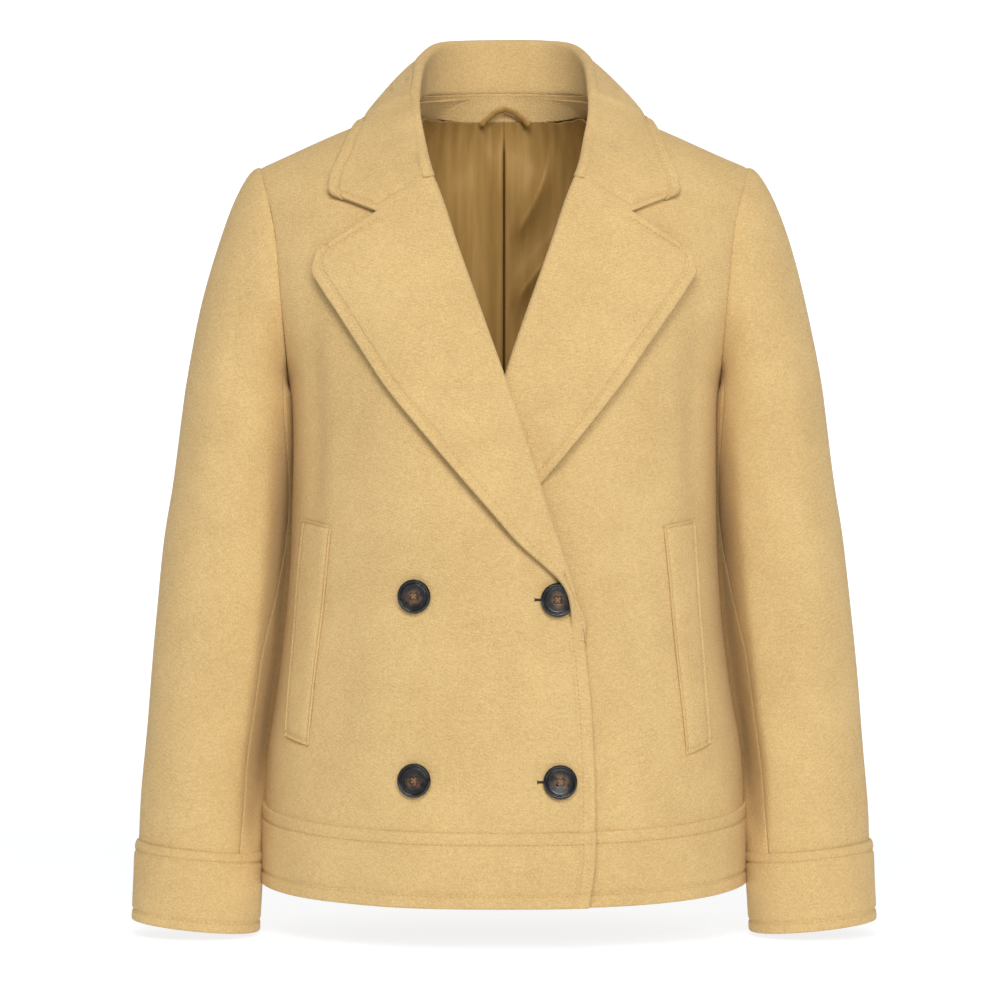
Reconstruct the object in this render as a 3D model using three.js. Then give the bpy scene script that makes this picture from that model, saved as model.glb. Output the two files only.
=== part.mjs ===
// Cropped double-breasted pea coat, held up and filled out with nobody in it.
// Millimetres, +Z up, front towards -Y. The origin lies inside the neck, at shoulder height.
// Right and left are the wearer's; the right front laps over the left one.
import * as THREE from "three";
import { mergeVertices } from "three/addons/utils/BufferGeometryUtils.js";

// Walls and gaps
const WALL = 2.5;
const EDGE_WALL = 5;
const LEAF = 4.2;
const TUCKED_LEAF = 3;
const SEAM = 0.4;
const REST = 0.8;

// Body form: shoulder ridge, dome inside the neck, roundness of the shoulder front and back
const SHOULDER = { x: 195, z: -32, slope: 0.425 };
const NECK_DOME = { halfWidth: 80, height: 38 };
const SHOULDER_ROUND = { front: 120, back: 100 };
const SECTION_POWER = 2.5;
const BODY = [
  { z: 25, half: 235, front: 71, back: 89 },
  { z: -34, half: 230, front: 84, back: 96 },
  { z: -75, half: 215, front: 94, back: 101 },
  { z: -100, half: 208, front: 100, back: 103 },
  { z: -130, half: 200, front: 106, back: 104 },
  { z: -160, half: 189, front: 111, back: 104 },
  { z: -185, half: 179, front: 114, back: 103 },
  { z: -205, half: 172, front: 116, back: 102 },
  { z: -250, half: 169, front: 116, back: 101 },
  { z: -310, half: 168, front: 116, back: 100 },
  { z: -390, half: 171, front: 114, back: 98 },
  { z: -450, half: 178, front: 116, back: 101 },
  { z: -498, half: 185, front: 118, back: 104 },
  { z: -540, half: 188, front: 121, back: 106 },
  { z: -620, half: 191, front: 124, back: 110 },
];

// Armhole seam seen from the front; it ends under the arm
const ARMHOLE = [
  { z: -32, x: 195 },
  { z: -72, x: 184 },
  { z: -104, x: 178.5 },
  { z: -154, x: 174.5 },
  { z: -178, x: 173 },
  { z: -205, x: 172 },
];

// Front neckline, roll line and front edge of one front, towards its own side
const FRONT_EDGE = [
  { z: 25, x: 72 },
  { z: -3, x: 74 },
  { z: -22, x: 72 },
  { z: -38, x: 66 },
  { z: -49, x: 54 },
  { z: -106, x: 33 },
  { z: -201, x: -1 },
  { z: -246, x: -17 },
  { z: -281, x: -27 },
  { z: -325, x: -42 },
  { z: -361, x: -56 },
  { z: -381, x: -62 },
  { z: -403, x: -66 },
  { z: -462, x: -70 },
  { z: -555, x: -72 },
  { z: -620, x: -68 },
];
const BACK_NECK = { halfWidth: 72, sideZ: 25, rise: 10 };
const ROLL_NOSE = 3.8;

// Overlap: how far the right front stands off the left one
const OVERLAP = { lift: 7.2, fullX: 70, noneX: 130, noneZ: -110, fullZ: -190 };

// Seam above the hem band and the hem, level at the back and lower in front
const BAND = { seamZ: -538, hemZ: -600, seamDip: 14, hemDip: 9.5, proud: 1 };

// Lapel: outer edge from the tip down, with the roll line height that each row is folded at
const LAPEL = [
  { foldZ: -49, x: 142, z: -107 },
  { foldZ: -62, x: 145, z: -121 },
  { foldZ: -78, x: 140, z: -131 },
  { foldZ: -112, x: 123, z: -157 },
  { foldZ: -150, x: 106, z: -182 },
  { foldZ: -188, x: 86, z: -212 },
  { foldZ: -226, x: 63, z: -242 },
  { foldZ: -262, x: 36, z: -276 },
  { foldZ: -296, x: 11, z: -306 },
  { foldZ: -326, x: -14, z: -331 },
  { foldZ: -350, x: -36, z: -350 },
  { foldZ: -359, x: -46, z: -357 },
  { foldZ: -368, x: -51, z: -365 },
];
const LAPEL_LIFT = 2.5;
const ROLL_SEAM = 1.6;

// Collar, from the centre back to the gorge: neck seam, fold, outer edge and leaf bulge
const COLLAR = [
  { neckX: 0, neckZ: 35, side: 1, fold: [0, 80, 81], edge: [0, 104, 10], bulge: 4 },
  { neckX: 30, neckZ: 34, side: 1, fold: [32, 74, 80], edge: [44, 101, 7], bulge: 5 },
  { neckX: 52, neckZ: 32, side: 1, fold: [53, 50, 74], edge: [84, 80, 2], bulge: 6 },
  { neckX: 66, neckZ: 28.5, side: 1, fold: [63, 22, 60], edge: [110, 45, -1], bulge: 6 },
  { neckX: 68.2, neckZ: 27, side: 1, fold: [66.5, -8, 42], edge: [118, 14, 0], bulge: 6 },
  { neckX: 71, neckZ: 14.5, side: -1, fold: [66.5, -33, 21], edge: [121, -9, -6], bulge: 5 },
  { neckX: 74, neckZ: -3, side: -1, fold: [65, -50, 3.5], edge: [127, -28, -17], bulge: 4 },
  { neckX: 72, neckZ: -22, side: -1, fold: [61.5, -66, -17], edge: [133, -44, -32], bulge: 2 },
  { neckX: 66, neckZ: -37, side: -1, fold: [58, -79, -33], edge: [138, -57, -45], bulge: 1 },
  { neckX: 57.5, neckZ: -47, side: -1, fold: [54, -90, -44], edge: [138, -70, -57], bulge: 0 },
];
const COLLAR_WALL = 4;
const COLLAR_SEAM = 1.9;
const COLLAR_FOLD_RADIUS = 3.2;
const NOTCH = { along: 0.47, drop: 19, start: 0.72 };

// Sleeve rings under the arm: height of the centre, outer and inner x, half depth, centre y
const SLEEVE = [
  { z: -216, outer: 255, inner: 174.5, depth: 58, y: 0 },
  { z: -285, outer: 264, inner: 171.8, depth: 59, y: 0 },
  { z: -330, outer: 270.5, inner: 171.8, depth: 58, y: -2 },
  { z: -390, outer: 277, inner: 175, depth: 56, y: -5 },
  { z: -450, outer: 282, inner: 182, depth: 53, y: -8 },
  { z: -498, outer: 285.5, inner: 189.5, depth: 50, y: -11 },
  { z: -540, outer: 288.5, inner: 193, depth: 47, y: -14 },
  { z: -571.6, outer: 290, inner: 195, depth: 44.5, y: -17 },
];
const CUFF = [
  { z: -572.2, outer: 292.2, inner: 193.4, depth: 46.5, y: -17 },
  { z: -577, outer: 293.6, inner: 193, depth: 47.5, y: -17.3 },
  { z: -604, outer: 294.5, inner: 193.6, depth: 46.5, y: -19 },
  { z: -634.5, outer: 295.4, inner: 194.4, depth: 45, y: -21 },
];
const CUFF_WALL = 3.6;
const RING_TILT = 0.1;
const FRONT_SLEEVE_SEAM = 145;
const BACK_SLEEVE_SEAM = 240;
const SLEEVE_SEAM_HALF_GAP = 0.35;
const ARMHOLE_SEAM = 0.9;

// Slanted pocket welts on each front
const WELT = {
  top: { outer: [154, -313], inner: [132, -318] },
  bottom: { outer: [169, -483], inner: [152, -489] },
  wall: 1.8,
};

// Buttons on the right front, in its own side's direction
const BUTTONS = [
  { name: "button_1", x: 70, z: -372 },
  { name: "button_2", x: -42, z: -376 },
  { name: "button_3", x: 70, z: -513 },
  { name: "button_4", x: -43, z: -514 },
];
const BUTTON = { radius: 12.5, height: 4.4, rim: 2.6, dish: 1.1 };

const FACING = { halfWidth: 64, height: 17, wall: 1.5, inset: 2.7 };
const LINING = { wall: 1, inset: 3.2, topDrop: 19.5, sideDrop: 9, bottomZ: -545, pleat: 7 };
const HANGER = { halfSpan: 23, centreX: 2, rise: 12, radius: 1.8 };

const COLOURS = { wool: 0xd0b179, lining: 0x9c7c4b, button: 0x2b2622 };

const clamp01 = (v) => Math.min(1, Math.max(0, v));
const lerp = (a, b, t) => a + (b - a) * t;
function smooth(v) {
  const t = clamp01(v);
  return t * t * (3 - 2 * t);
}

// Value of one column of a table at a height, with a cubic that keeps the slope continuous
function atHeight(rows, key, z) {
  const ordered = rows[0].z > rows[rows.length - 1].z ? rows : [...rows].reverse();
  if (z >= ordered[0].z) return ordered[0][key];
  const last = ordered.length - 1;
  if (z <= ordered[last].z) return ordered[last][key];
  let i = 0;
  while (z < ordered[i + 1].z) i += 1;
  const slopeAt = (k) => {
    const a = ordered[Math.max(0, k - 1)];
    const b = ordered[Math.min(last, k + 1)];
    return (b[key] - a[key]) / (b.z - a.z);
  };
  const span = ordered[i + 1].z - ordered[i].z;
  const t = (z - ordered[i].z) / span;
  const h = [2 * t ** 3 - 3 * t ** 2 + 1, t ** 3 - 2 * t ** 2 + t, 3 * t ** 2 - 2 * t ** 3, t ** 3 - t ** 2];
  return (
    h[0] * ordered[i][key] + h[1] * span * slopeAt(i) + h[2] * ordered[i + 1][key] + h[3] * span * slopeAt(i + 1)
  );
}

// Height of the shoulder line over x
function ridge(x) {
  const ax = Math.abs(x);
  const dome = ax < NECK_DOME.halfWidth ? NECK_DOME.height * (1 - (ax / NECK_DOME.halfWidth) ** 2) : 0;
  return SHOULDER.z + SHOULDER.slope * (SHOULDER.x - ax) + dome;
}

const sideFullness = (x, z) => 1 - Math.abs(x / atHeight(BODY, "half", z)) ** SECTION_POWER;
function shoulderFullness(x, z, side) {
  const drop = (ridge(x) - z) / (side > 0 ? SHOULDER_ROUND.back : SHOULDER_ROUND.front);
  return drop >= 1 ? 1 : 1 - (1 - drop) ** 2;
}
const bodyDepth = (z, side) => atHeight(BODY, side > 0 ? "back" : "front", z);

// Point of the outer cloth at x, z; side is -1 in front and 1 behind
function onBody(x, z, side) {
  const full = Math.max(0, sideFullness(x, z)) * Math.max(0, shoulderFullness(x, z, side));
  return new THREE.Vector3(x, side * bodyDepth(z, side) * Math.sqrt(full), z);
}

// Zero on the cloth, positive outside it
function bodyField(p) {
  const side = p.y > 0 ? 1 : -1;
  return (p.y / bodyDepth(p.z, side)) ** 2 - sideFullness(p.x, p.z) * shoulderFullness(p.x, p.z, side);
}
function bodyGradient(p) {
  const h = 0.4;
  const slope = (axis) => {
    const a = p.clone();
    const b = p.clone();
    a[axis] -= h;
    b[axis] += h;
    return (bodyField(b) - bodyField(a)) / (2 * h);
  };
  return new THREE.Vector3(slope("x"), slope("y"), slope("z"));
}
const bodyNormal = (p) => bodyGradient(p).normalize();

// The point moved out along the body's normal until it is at least `clear` away
function clearOfBody(point, clear) {
  const p = point.clone();
  for (let i = 0; i < 12; i += 1) {
    const gradient = bodyGradient(p);
    const distance = bodyField(p) / gradient.length();
    if (distance >= clear) break;
    p.addScaledVector(gradient.normalize(), Math.min(6, clear - distance));
  }
  return p;
}

// Closed body from two grids of points that share their outline, [row][column]
function closedWall(outer, inner, wrap = false) {
  const rows = outer.length;
  const columns = outer[0].length;
  const points = [...outer.flat(), ...inner.flat()];
  const at = (layer, r, c) => layer * rows * columns + r * columns + (c % columns);
  const faces = [];
  const quad = (a, b, c, d) => faces.push(a, b, c, a, c, d);
  const lastColumn = wrap ? columns : columns - 1;
  for (let r = 0; r < rows - 1; r += 1) {
    for (let c = 0; c < lastColumn; c += 1) {
      quad(at(0, r, c), at(0, r, c + 1), at(0, r + 1, c + 1), at(0, r + 1, c));
      quad(at(1, r, c), at(1, r + 1, c), at(1, r + 1, c + 1), at(1, r, c + 1));
    }
  }
  for (let c = 0; c < lastColumn; c += 1) {
    quad(at(0, 0, c), at(1, 0, c), at(1, 0, c + 1), at(0, 0, c + 1));
    const r = rows - 1;
    quad(at(0, r, c), at(0, r, c + 1), at(1, r, c + 1), at(1, r, c));
  }
  if (!wrap) {
    for (let r = 0; r < rows - 1; r += 1) {
      quad(at(0, r, 0), at(0, r + 1, 0), at(1, r + 1, 0), at(1, r, 0));
      const c = columns - 1;
      quad(at(0, r, c), at(1, r, c), at(1, r + 1, c), at(0, r + 1, c));
    }
  }
  const positions = new Float32Array(points.flatMap((p) => [p.x, p.y, p.z]));
  let volume = 0;
  for (let i = 0; i < faces.length; i += 3) {
    const [a, b, c] = [points[faces[i]], points[faces[i + 1]], points[faces[i + 2]]];
    volume += a.dot(new THREE.Vector3().crossVectors(b, c));
  }
  if (volume < 0) faces.reverse();
  const geometry = new THREE.BufferGeometry();
  geometry.setAttribute("position", new THREE.BufferAttribute(positions, 3));
  geometry.setIndex(faces);
  geometry.computeVertexNormals();
  return geometry;
}

// Unit normals of a grid of points, all on the side that `towards` points to
function gridNormals(grid, towards, wrap = false) {
  const rows = grid.length;
  const columns = grid[0].length;
  return grid.map((row, r) =>
    row.map((p, c) => {
      const left = wrap ? (c + columns - 1) % columns : Math.max(0, c - 1);
      const right = wrap ? (c + 1) % columns : Math.min(columns - 1, c + 1);
      const across = new THREE.Vector3().subVectors(row[right], row[left]);
      const down = new THREE.Vector3().subVectors(grid[Math.min(rows - 1, r + 1)][c], grid[Math.max(0, r - 1)][c]);
      const normal = across.cross(down).normalize();
      return normal.dot(towards(p, r, c)) < 0 ? normal.negate() : normal;
    }),
  );
}

// Wall about a grid of middle points, with its own thickness at each point
function wallAbout(middle, normals, thickness) {
  const shifted = (sign) =>
    middle.map((row, r) => row.map((p, c) => p.clone().addScaledVector(normals[r][c], (sign * thickness(r, c)) / 2)));
  return closedWall(shifted(1), shifted(-1));
}

const woolMaterial = () => new THREE.MeshStandardMaterial({ color: COLOURS.wool, roughness: 0.95, metalness: 0 });
const satinMaterial = () => new THREE.MeshStandardMaterial({ color: COLOURS.lining, roughness: 0.4, metalness: 0 });
const hornMaterial = () => new THREE.MeshStandardMaterial({ color: COLOURS.button, roughness: 0.3, metalness: 0 });

const coat = new THREE.Group();
function addPiece(name, geometry, material) {
  for (const attribute of ["normal", "uv"]) geometry.deleteAttribute(attribute);
  const mesh = new THREE.Mesh(mergeVertices(geometry, 1e-3), material);
  mesh.geometry.computeVertexNormals();
  mesh.name = name;
  coat.add(mesh);
  return mesh;
}

// How far a front's outer face stands off the body form; `own` is x towards its own side
function frontLift(own, z, lapsOver) {
  if (!lapsOver) return 0;
  const across = smooth((OVERLAP.noneX - own) / (OVERLAP.noneX - OVERLAP.fullX));
  return OVERLAP.lift * across * smooth((OVERLAP.noneZ - z) / (OVERLAP.noneZ - OVERLAP.fullZ));
}

// Point on or above a front: own x, z, height over its outer face
function onFront(front, own, z, height) {
  const p = onBody(front.sign * own, z, -1);
  const normal = bodyNormal(p);
  p.y -= SEAM / 2;
  return p.addScaledVector(normal, frontLift(own, z, front.lapsOver) + height);
}

const seamHeight = (x, side) => {
  const fullness = Math.sqrt(Math.max(0, sideFullness(x, BAND.seamZ)));
  return BAND.seamZ - (side < 0 ? BAND.seamDip * fullness : 0);
};
const hemHeight = (x, side) => {
  const fullness = Math.sqrt(Math.max(0, sideFullness(x, BAND.hemZ)));
  return BAND.hemZ - (side < 0 ? BAND.hemDip * fullness : 0);
};
const sideEdge = (z) => {
  const underArm = ARMHOLE[ARMHOLE.length - 1].z;
  return z > underArm ? atHeight(ARMHOLE, "x", z) : atHeight(BODY, "half", z);
};
// The front's cut edge lies inside the rounded nose of the rolled lapel
const noseInset = (z) => ROLL_NOSE * smooth((z + 396) / 20) * smooth((8 - z) / 50);
const frontCut = (z) => atHeight(FRONT_EDGE, "x", z) + noseInset(z);

// Row fractions from the shoulder down: close together where the shoulder rounds over
function rowFractions(roundRows, plainRows, roundShare) {
  const rows = [];
  for (let i = 0; i < roundRows; i += 1) rows.push(roundShare * (1 - Math.cos((i / roundRows) * (Math.PI / 2))));
  for (let i = 0; i <= plainRows; i += 1) rows.push(lerp(roundShare, 1, i / plainRows));
  return rows;
}

function frontPanel(front) {
  const columns = 15;
  const fractions = rowFractions(6, 13, 0.2);
  const place = (fraction, u) => {
    let z = lerp(0, BAND.seamZ, fraction);
    let own = 0;
    for (let i = 0; i < 16; i += 1) {
      own = lerp(frontCut(z), sideEdge(z), Math.sin((u * Math.PI) / 2));
      const target = lerp(ridge(own), seamHeight(own, -1), fraction);
      z = lerp(z, target, 0.7);
    }
    return { own, z };
  };
  const wallAt = (own, z) => {
    const fromEdge = own - frontCut(z);
    const below = smooth((-380 - z) / 14);
    return WALL + (EDGE_WALL - WALL) * below * smooth((18 - fromEdge) / 10);
  };
  const layer = (depth) =>
    fractions.map((fraction) =>
      Array.from({ length: columns + 1 }, (_, c) => {
        const { own, z } = place(fraction, c / columns);
        return onFront(front, own, z, -depth * wallAt(own, z));
      }),
    );
  addPiece(`front_${front.name}`, closedWall(layer(0), layer(1)), woolMaterial());
}

const backNeckZ = (x) => {
  const share = clamp01(1 - (x / BACK_NECK.halfWidth) ** 2);
  return BACK_NECK.sideZ + BACK_NECK.rise * share ** 0.7;
};
const backTop = (x) => (Math.abs(x) < BACK_NECK.halfWidth ? Math.min(backNeckZ(x), ridge(x)) : ridge(x));

// Point of the back at x, z, with a height over its outer face
function onBack(x, z, height) {
  const p = onBody(x, z, 1);
  const normal = bodyNormal(p);
  p.y += SEAM / 2;
  return p.addScaledVector(normal, height);
}

function backPanel() {
  const columns = 26;
  const fractions = rowFractions(6, 10, 0.18);
  const place = (fraction, u) => {
    let z = lerp(0, BAND.seamZ, fraction);
    let x = 0;
    for (let i = 0; i < 16; i += 1) {
      x = sideEdge(z) * Math.sin((u - 0.5) * Math.PI);
      z = lerp(z, lerp(backTop(x), BAND.seamZ, fraction), 0.7);
    }
    return { x, z };
  };
  const layer = (height) =>
    fractions.map((fraction) =>
      Array.from({ length: columns + 1 }, (_, c) => {
        const { x, z } = place(fraction, c / columns);
        return onBack(x, z, height);
      }),
    );
  addPiece("back", closedWall(layer(0), layer(-WALL)), woolMaterial());
}

function frontBand(front) {
  const columns = 15;
  const rows = 3;
  const layer = (outer) =>
    Array.from({ length: rows + 1 }, (_, r) =>
      Array.from({ length: columns + 1 }, (_, c) => {
        const spread = Math.sin(((c / columns) * Math.PI) / 2);
        const down = r / rows;
        const roughZ = lerp(BAND.seamZ, BAND.hemZ, down);
        const own = lerp(frontCut(roughZ), sideEdge(roughZ), spread);
        const z = lerp(seamHeight(own, -1) - SEAM, hemHeight(own, -1), down);
        const wall = lerp(EDGE_WALL + BAND.proud, WALL + BAND.proud, smooth((own - frontCut(z) - 8) / 12));
        return onFront(front, own, z, outer ? BAND.proud : BAND.proud - wall);
      }),
    );
  addPiece(`band_${front.name}`, closedWall(layer(true), layer(false)), woolMaterial());
}

function backBand() {
  const columns = 26;
  const rows = 3;
  const layer = (height) =>
    Array.from({ length: rows + 1 }, (_, r) =>
      Array.from({ length: columns + 1 }, (_, c) => {
        const z = lerp(BAND.seamZ - SEAM, BAND.hemZ, r / rows);
        return onBack(sideEdge(z) * Math.sin((c / columns - 0.5) * Math.PI), z, height);
      }),
    );
  addPiece("band_back", closedWall(layer(BAND.proud), layer(-WALL)), woolMaterial());
}

// A lapel starts against the front's cut edge, rolls over it and lies on the front
function lapel(front) {
  const stations = [];
  const perRow = 2;
  for (let i = 0; i < (LAPEL.length - 1) * perRow + 1; i += 1) {
    const t = Math.min(i / perRow, LAPEL.length - 1 - 1e-9);
    const row = Math.floor(t);
    const share = t - row;
    const pick = (key) => lerp(LAPEL[row][key], LAPEL[row + 1][key], share);
    const foldZ = pick("foldZ");
    stations.push({ x0: frontCut(foldZ), z0: foldZ, x1: pick("x"), z1: pick("z") });
  }
  const arcSteps = 4;
  const leafSteps = 5;
  const middle = [];
  const widths = [];
  for (const station of stations) {
    const length = Math.hypot(station.x1 - station.x0, station.z1 - station.z0);
    const along = (q) => [
      station.x0 + ((station.x1 - station.x0) * q) / length,
      station.z0 + ((station.z1 - station.z0) * q) / length,
    ];
    // Where the left lapel is tucked under the right front it is pressed thin
    const open = (own, z) => (front.lapsOver ? 1 : smooth((own + atHeight(FRONT_EDGE, "x", z) - 4) / 18));
    const thickness = (own, z) => lerp(TUCKED_LEAF, LEAF, open(own, z));
    const row = [];
    const wide = [];
    const startOpen = thickness(station.x0, station.z0);
    const low = -WALL / 2;
    const high = REST + startOpen / 2;
    const radius = (high - low) / 2;
    for (let a = 0; a <= arcSteps; a += 1) {
      const angle = (a / arcSteps) * Math.PI;
      const [own, z] = along(-ROLL_SEAM - radius * Math.sin(angle));
      row.push(onFront(front, own, z, (low + high) / 2 - radius * Math.cos(angle)));
      wide.push(lerp(WALL, startOpen, a / arcSteps));
    }
    for (let k = 1; k <= leafSteps; k += 1) {
      const f = k / leafSteps;
      const [own, z] = along(f * length);
      const openness = open(own, z);
      const thick = lerp(TUCKED_LEAF, LEAF, openness);
      const reach = Math.min(1, length / 40);
      row.push(onFront(front, own, z, REST + thick / 2 + LAPEL_LIFT * f * f * openness * reach));
      wide.push(k === leafSteps ? thick * 0.8 : thick);
    }
    middle.push(row);
    widths.push(wide);
  }
  // On the roll the wall's outer face points away from the cut edge, and on the leaf away from the body
  const towards = (p, r, c) => {
    const outward = bodyNormal(p);
    if (c > arcSteps) return outward;
    const station = stations[r];
    const away = new THREE.Vector3(front.sign * (station.x0 - station.x1), 0, station.z0 - station.z1).normalize();
    const angle = (c / arcSteps) * Math.PI;
    return outward.multiplyScalar(-Math.cos(angle)).addScaledVector(away, Math.sin(angle));
  };
  const normals = gridNormals(middle, towards);
  addPiece(`lapel_${front.name}`, wallAbout(middle, normals, (r, c) => widths[r][c]), woolMaterial());
}

// The collar's rows on both sides of the centre back, left side first
function collarRows() {
  const mirrored = COLLAR.slice(1)
    .reverse()
    .map((row) => ({
      ...row,
      neckX: -row.neckX,
      fold: [-row.fold[0], row.fold[1], row.fold[2]],
      edge: [-row.edge[0], row.edge[1], row.edge[2]],
    }));
  return [...mirrored, ...COLLAR];
}

function collar() {
  const rows = collarRows();
  const curve = (list) => new THREE.CatmullRomCurve3(list, false, "centripetal");
  const neck = curve(
    rows.map((row) => {
      const p = onBody(row.neckX, row.neckZ, row.side);
      const normal = bodyNormal(p);
      return p.addScaledVector(normal, -WALL / 2);
    }),
  );
  const fold = curve(rows.map((row) => new THREE.Vector3(...row.fold)));
  const edge = curve(rows.map((row) => new THREE.Vector3(...row.edge)));
  const bulge = curve(rows.map((row, i) => new THREE.Vector3(row.bulge, i * 4, 0)));
  const stations = 44;
  const standSteps = 2;
  const arcSteps = 4;
  const leafSteps = 7;
  const neckCentre = new THREE.Vector3(0, 5, 30);
  const middle = [];
  const hints = [];
  for (let i = 0; i <= stations; i += 1) {
    const t = i / stations;
    const base = neck.getPoint(t);
    const top = fold.getPoint(t);
    const tip = edge.getPoint(t);
    const toFront = Math.abs(2 * t - 1);
    const up = new THREE.Vector3().subVectors(top, base);
    const height = up.length();
    up.normalize();
    const out = new THREE.Vector3().subVectors(tip, top);
    out.addScaledVector(up, -out.dot(up)).normalize();
    const away = new THREE.Vector3().subVectors(top, neckCentre).normalize();
    const start = base.clone().addScaledVector(up, COLLAR_SEAM);
    const springing = Math.max(0.4, height - COLLAR_FOLD_RADIUS - 1.4);
    const row = [];
    const hintRow = [];
    for (let k = 0; k < standSteps; k += 1) {
      row.push(start.clone().addScaledVector(up, (springing * k) / standSteps));
      hintRow.push(out.clone().negate());
    }
    const centre = start.clone().addScaledVector(up, springing).addScaledVector(out, COLLAR_FOLD_RADIUS);
    for (let a = 0; a <= arcSteps; a += 1) {
      const angle = (a / arcSteps) * Math.PI;
      const spoke = out.clone().multiplyScalar(-Math.cos(angle)).addScaledVector(up, Math.sin(angle));
      row.push(centre.clone().addScaledVector(spoke, COLLAR_FOLD_RADIUS));
      hintRow.push(spoke);
    }
    const leafStart = row[row.length - 1].clone();
    const notchShare = smooth((toFront - NOTCH.start) / (1 - NOTCH.start));
    for (let k = 1; k <= leafSteps; k += 1) {
      const f = k / leafSteps;
      const p = leafStart.clone().lerp(tip, f);
      const tent = f < NOTCH.along ? f / NOTCH.along : (1 - f) / (1 - NOTCH.along);
      p.z -= NOTCH.drop * tent * notchShare;
      p.addScaledVector(away, bulge.getPoint(t).x * Math.sin(Math.PI * f));
      const lift = REST + 0.3 + COLLAR_WALL / 2 + 1.5 * f * f;
      row.push(clearOfBody(p, lift));
      hintRow.push(bodyNormal(p));
    }
    middle.push(row);
    hints.push(hintRow);
  }
  const normals = gridNormals(middle, (p, r, c) => hints[r][c]);
  addPiece("collar", wallAbout(middle, normals, (r, c) => (c < 1 ? WALL : COLLAR_WALL)), woolMaterial());
}

function neckFacing() {
  const columns = 12;
  const rows = 2;
  const layer = (height) =>
    Array.from({ length: rows + 1 }, (_, r) =>
      Array.from({ length: columns + 1 }, (_, c) => {
        const x = lerp(-FACING.halfWidth, FACING.halfWidth, c / columns);
        return onBack(x, backTop(x) - 0.5 - (FACING.height * r) / rows, height);
      }),
    );
  const outer = -WALL - FACING.inset;
  addPiece("neck_facing", closedWall(layer(outer), layer(outer - FACING.wall)), woolMaterial());
}

// Depth of the lining's pleat and hanging folds, always inwards
function liningFold(x, z) {
  const below = smooth((10 - z) / 120);
  const pleat = LINING.pleat * Math.exp(-((x / 9) ** 2));
  const hanging = 2.4 * (1 + Math.sin(x / 11 + 1.3)) + 1.6 * (1 + Math.sin(x / 5.3 + z / 60));
  const towardSide = smooth((150 - Math.abs(x)) / 40);
  return towardSide * (pleat * lerp(0.5, 1, below) + hanging * lerp(0.15, 0.8, below));
}

function backLining() {
  const columns = 40;
  const rows = 8;
  const middle = Array.from({ length: rows + 1 }, (_, r) =>
    Array.from({ length: columns + 1 }, (_, c) => {
      const down = r / rows;
      let z = lerp(0, LINING.bottomZ, down);
      let x = 0;
      for (let i = 0; i < 16; i += 1) {
        x = (sideEdge(z) - 3) * Math.sin((c / columns - 0.5) * Math.PI * 0.96);
        const inNeck = Math.abs(x) < BACK_NECK.halfWidth;
        const top = inNeck ? Math.min(backTop(x) - LINING.topDrop, ridge(x) - LINING.sideDrop) : ridge(x) - LINING.sideDrop;
        z = lerp(z, lerp(top, LINING.bottomZ, down), 0.6);
      }
      return onBack(x, z, -WALL - LINING.inset - liningFold(x, z));
    }),
  );
  const normals = gridNormals(middle, (p) => bodyNormal(p));
  addPiece("lining_back", wallAbout(middle, normals, () => LINING.wall), satinMaterial());
}

function hangerLoop() {
  const points = Array.from({ length: 9 }, (_, i) => {
    const share = i / 8;
    const x = HANGER.centreX + lerp(-HANGER.halfSpan, HANGER.halfSpan, share);
    const z = backTop(x) - LINING.topDrop + HANGER.rise * Math.sin(Math.PI * share) ** 0.8;
    const lean = 3 * (1 - Math.sin(Math.PI * share));
    return onBack(x, z, -WALL - FACING.inset - FACING.wall - SEAM - HANGER.radius - lean);
  });
  const section = new THREE.Shape();
  section.absarc(0, 0, HANGER.radius, 0, Math.PI * 2);
  const geometry = new THREE.ExtrudeGeometry(section, {
    steps: 16,
    curveSegments: 3,
    extrudePath: new THREE.CatmullRomCurve3(points),
  });
  addPiece("hanger_loop", geometry, satinMaterial());
}

function welt(front) {
  const { top, bottom, wall } = WELT;
  const rows = 8;
  const columns = 3;
  const layer = (height) =>
    Array.from({ length: rows + 1 }, (_, r) =>
      Array.from({ length: columns + 1 }, (_, c) => {
        const pick = (axis) => {
          const high = lerp(top.outer[axis], top.inner[axis], c / columns);
          const low = lerp(bottom.outer[axis], bottom.inner[axis], c / columns);
          return lerp(high, low, r / rows);
        };
        return onFront(front, pick(0), pick(1), height);
      }),
    );
  addPiece(`welt_${front.name}`, closedWall(layer(SEAM + wall), layer(SEAM)), woolMaterial());
}

// Point of the armhole seam; the angle is 0 at the shoulder, 90 in front and 180 under the arm
function armholePoint(angle) {
  const top = ARMHOLE[0].z;
  const low = ARMHOLE[ARMHOLE.length - 1].z;
  const z = lerp(low, top, (1 + Math.cos(angle)) / 2);
  return onBody(atHeight(ARMHOLE, "x", z), z, Math.sin(angle) >= 0 ? -1 : 1);
}

// Point of a ring of the sleeve or cuff, which leans outwards with the arm
function ringPoint(table, z, angle) {
  const outer = atHeight(table, "outer", z);
  const inner = atHeight(table, "inner", z);
  const half = (outer - inner) / 2;
  const reach = half * Math.cos(angle);
  const flat = Math.sign(Math.sin(angle)) * Math.abs(Math.sin(angle)) ** 0.92;
  const y = atHeight(table, "y", z) - atHeight(table, "depth", z) * flat;
  const tilt = RING_TILT * smooth((SLEEVE[0].z - z) / 200);
  return new THREE.Vector3((outer + inner) / 2 + reach, y, z + tilt * reach);
}

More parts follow.
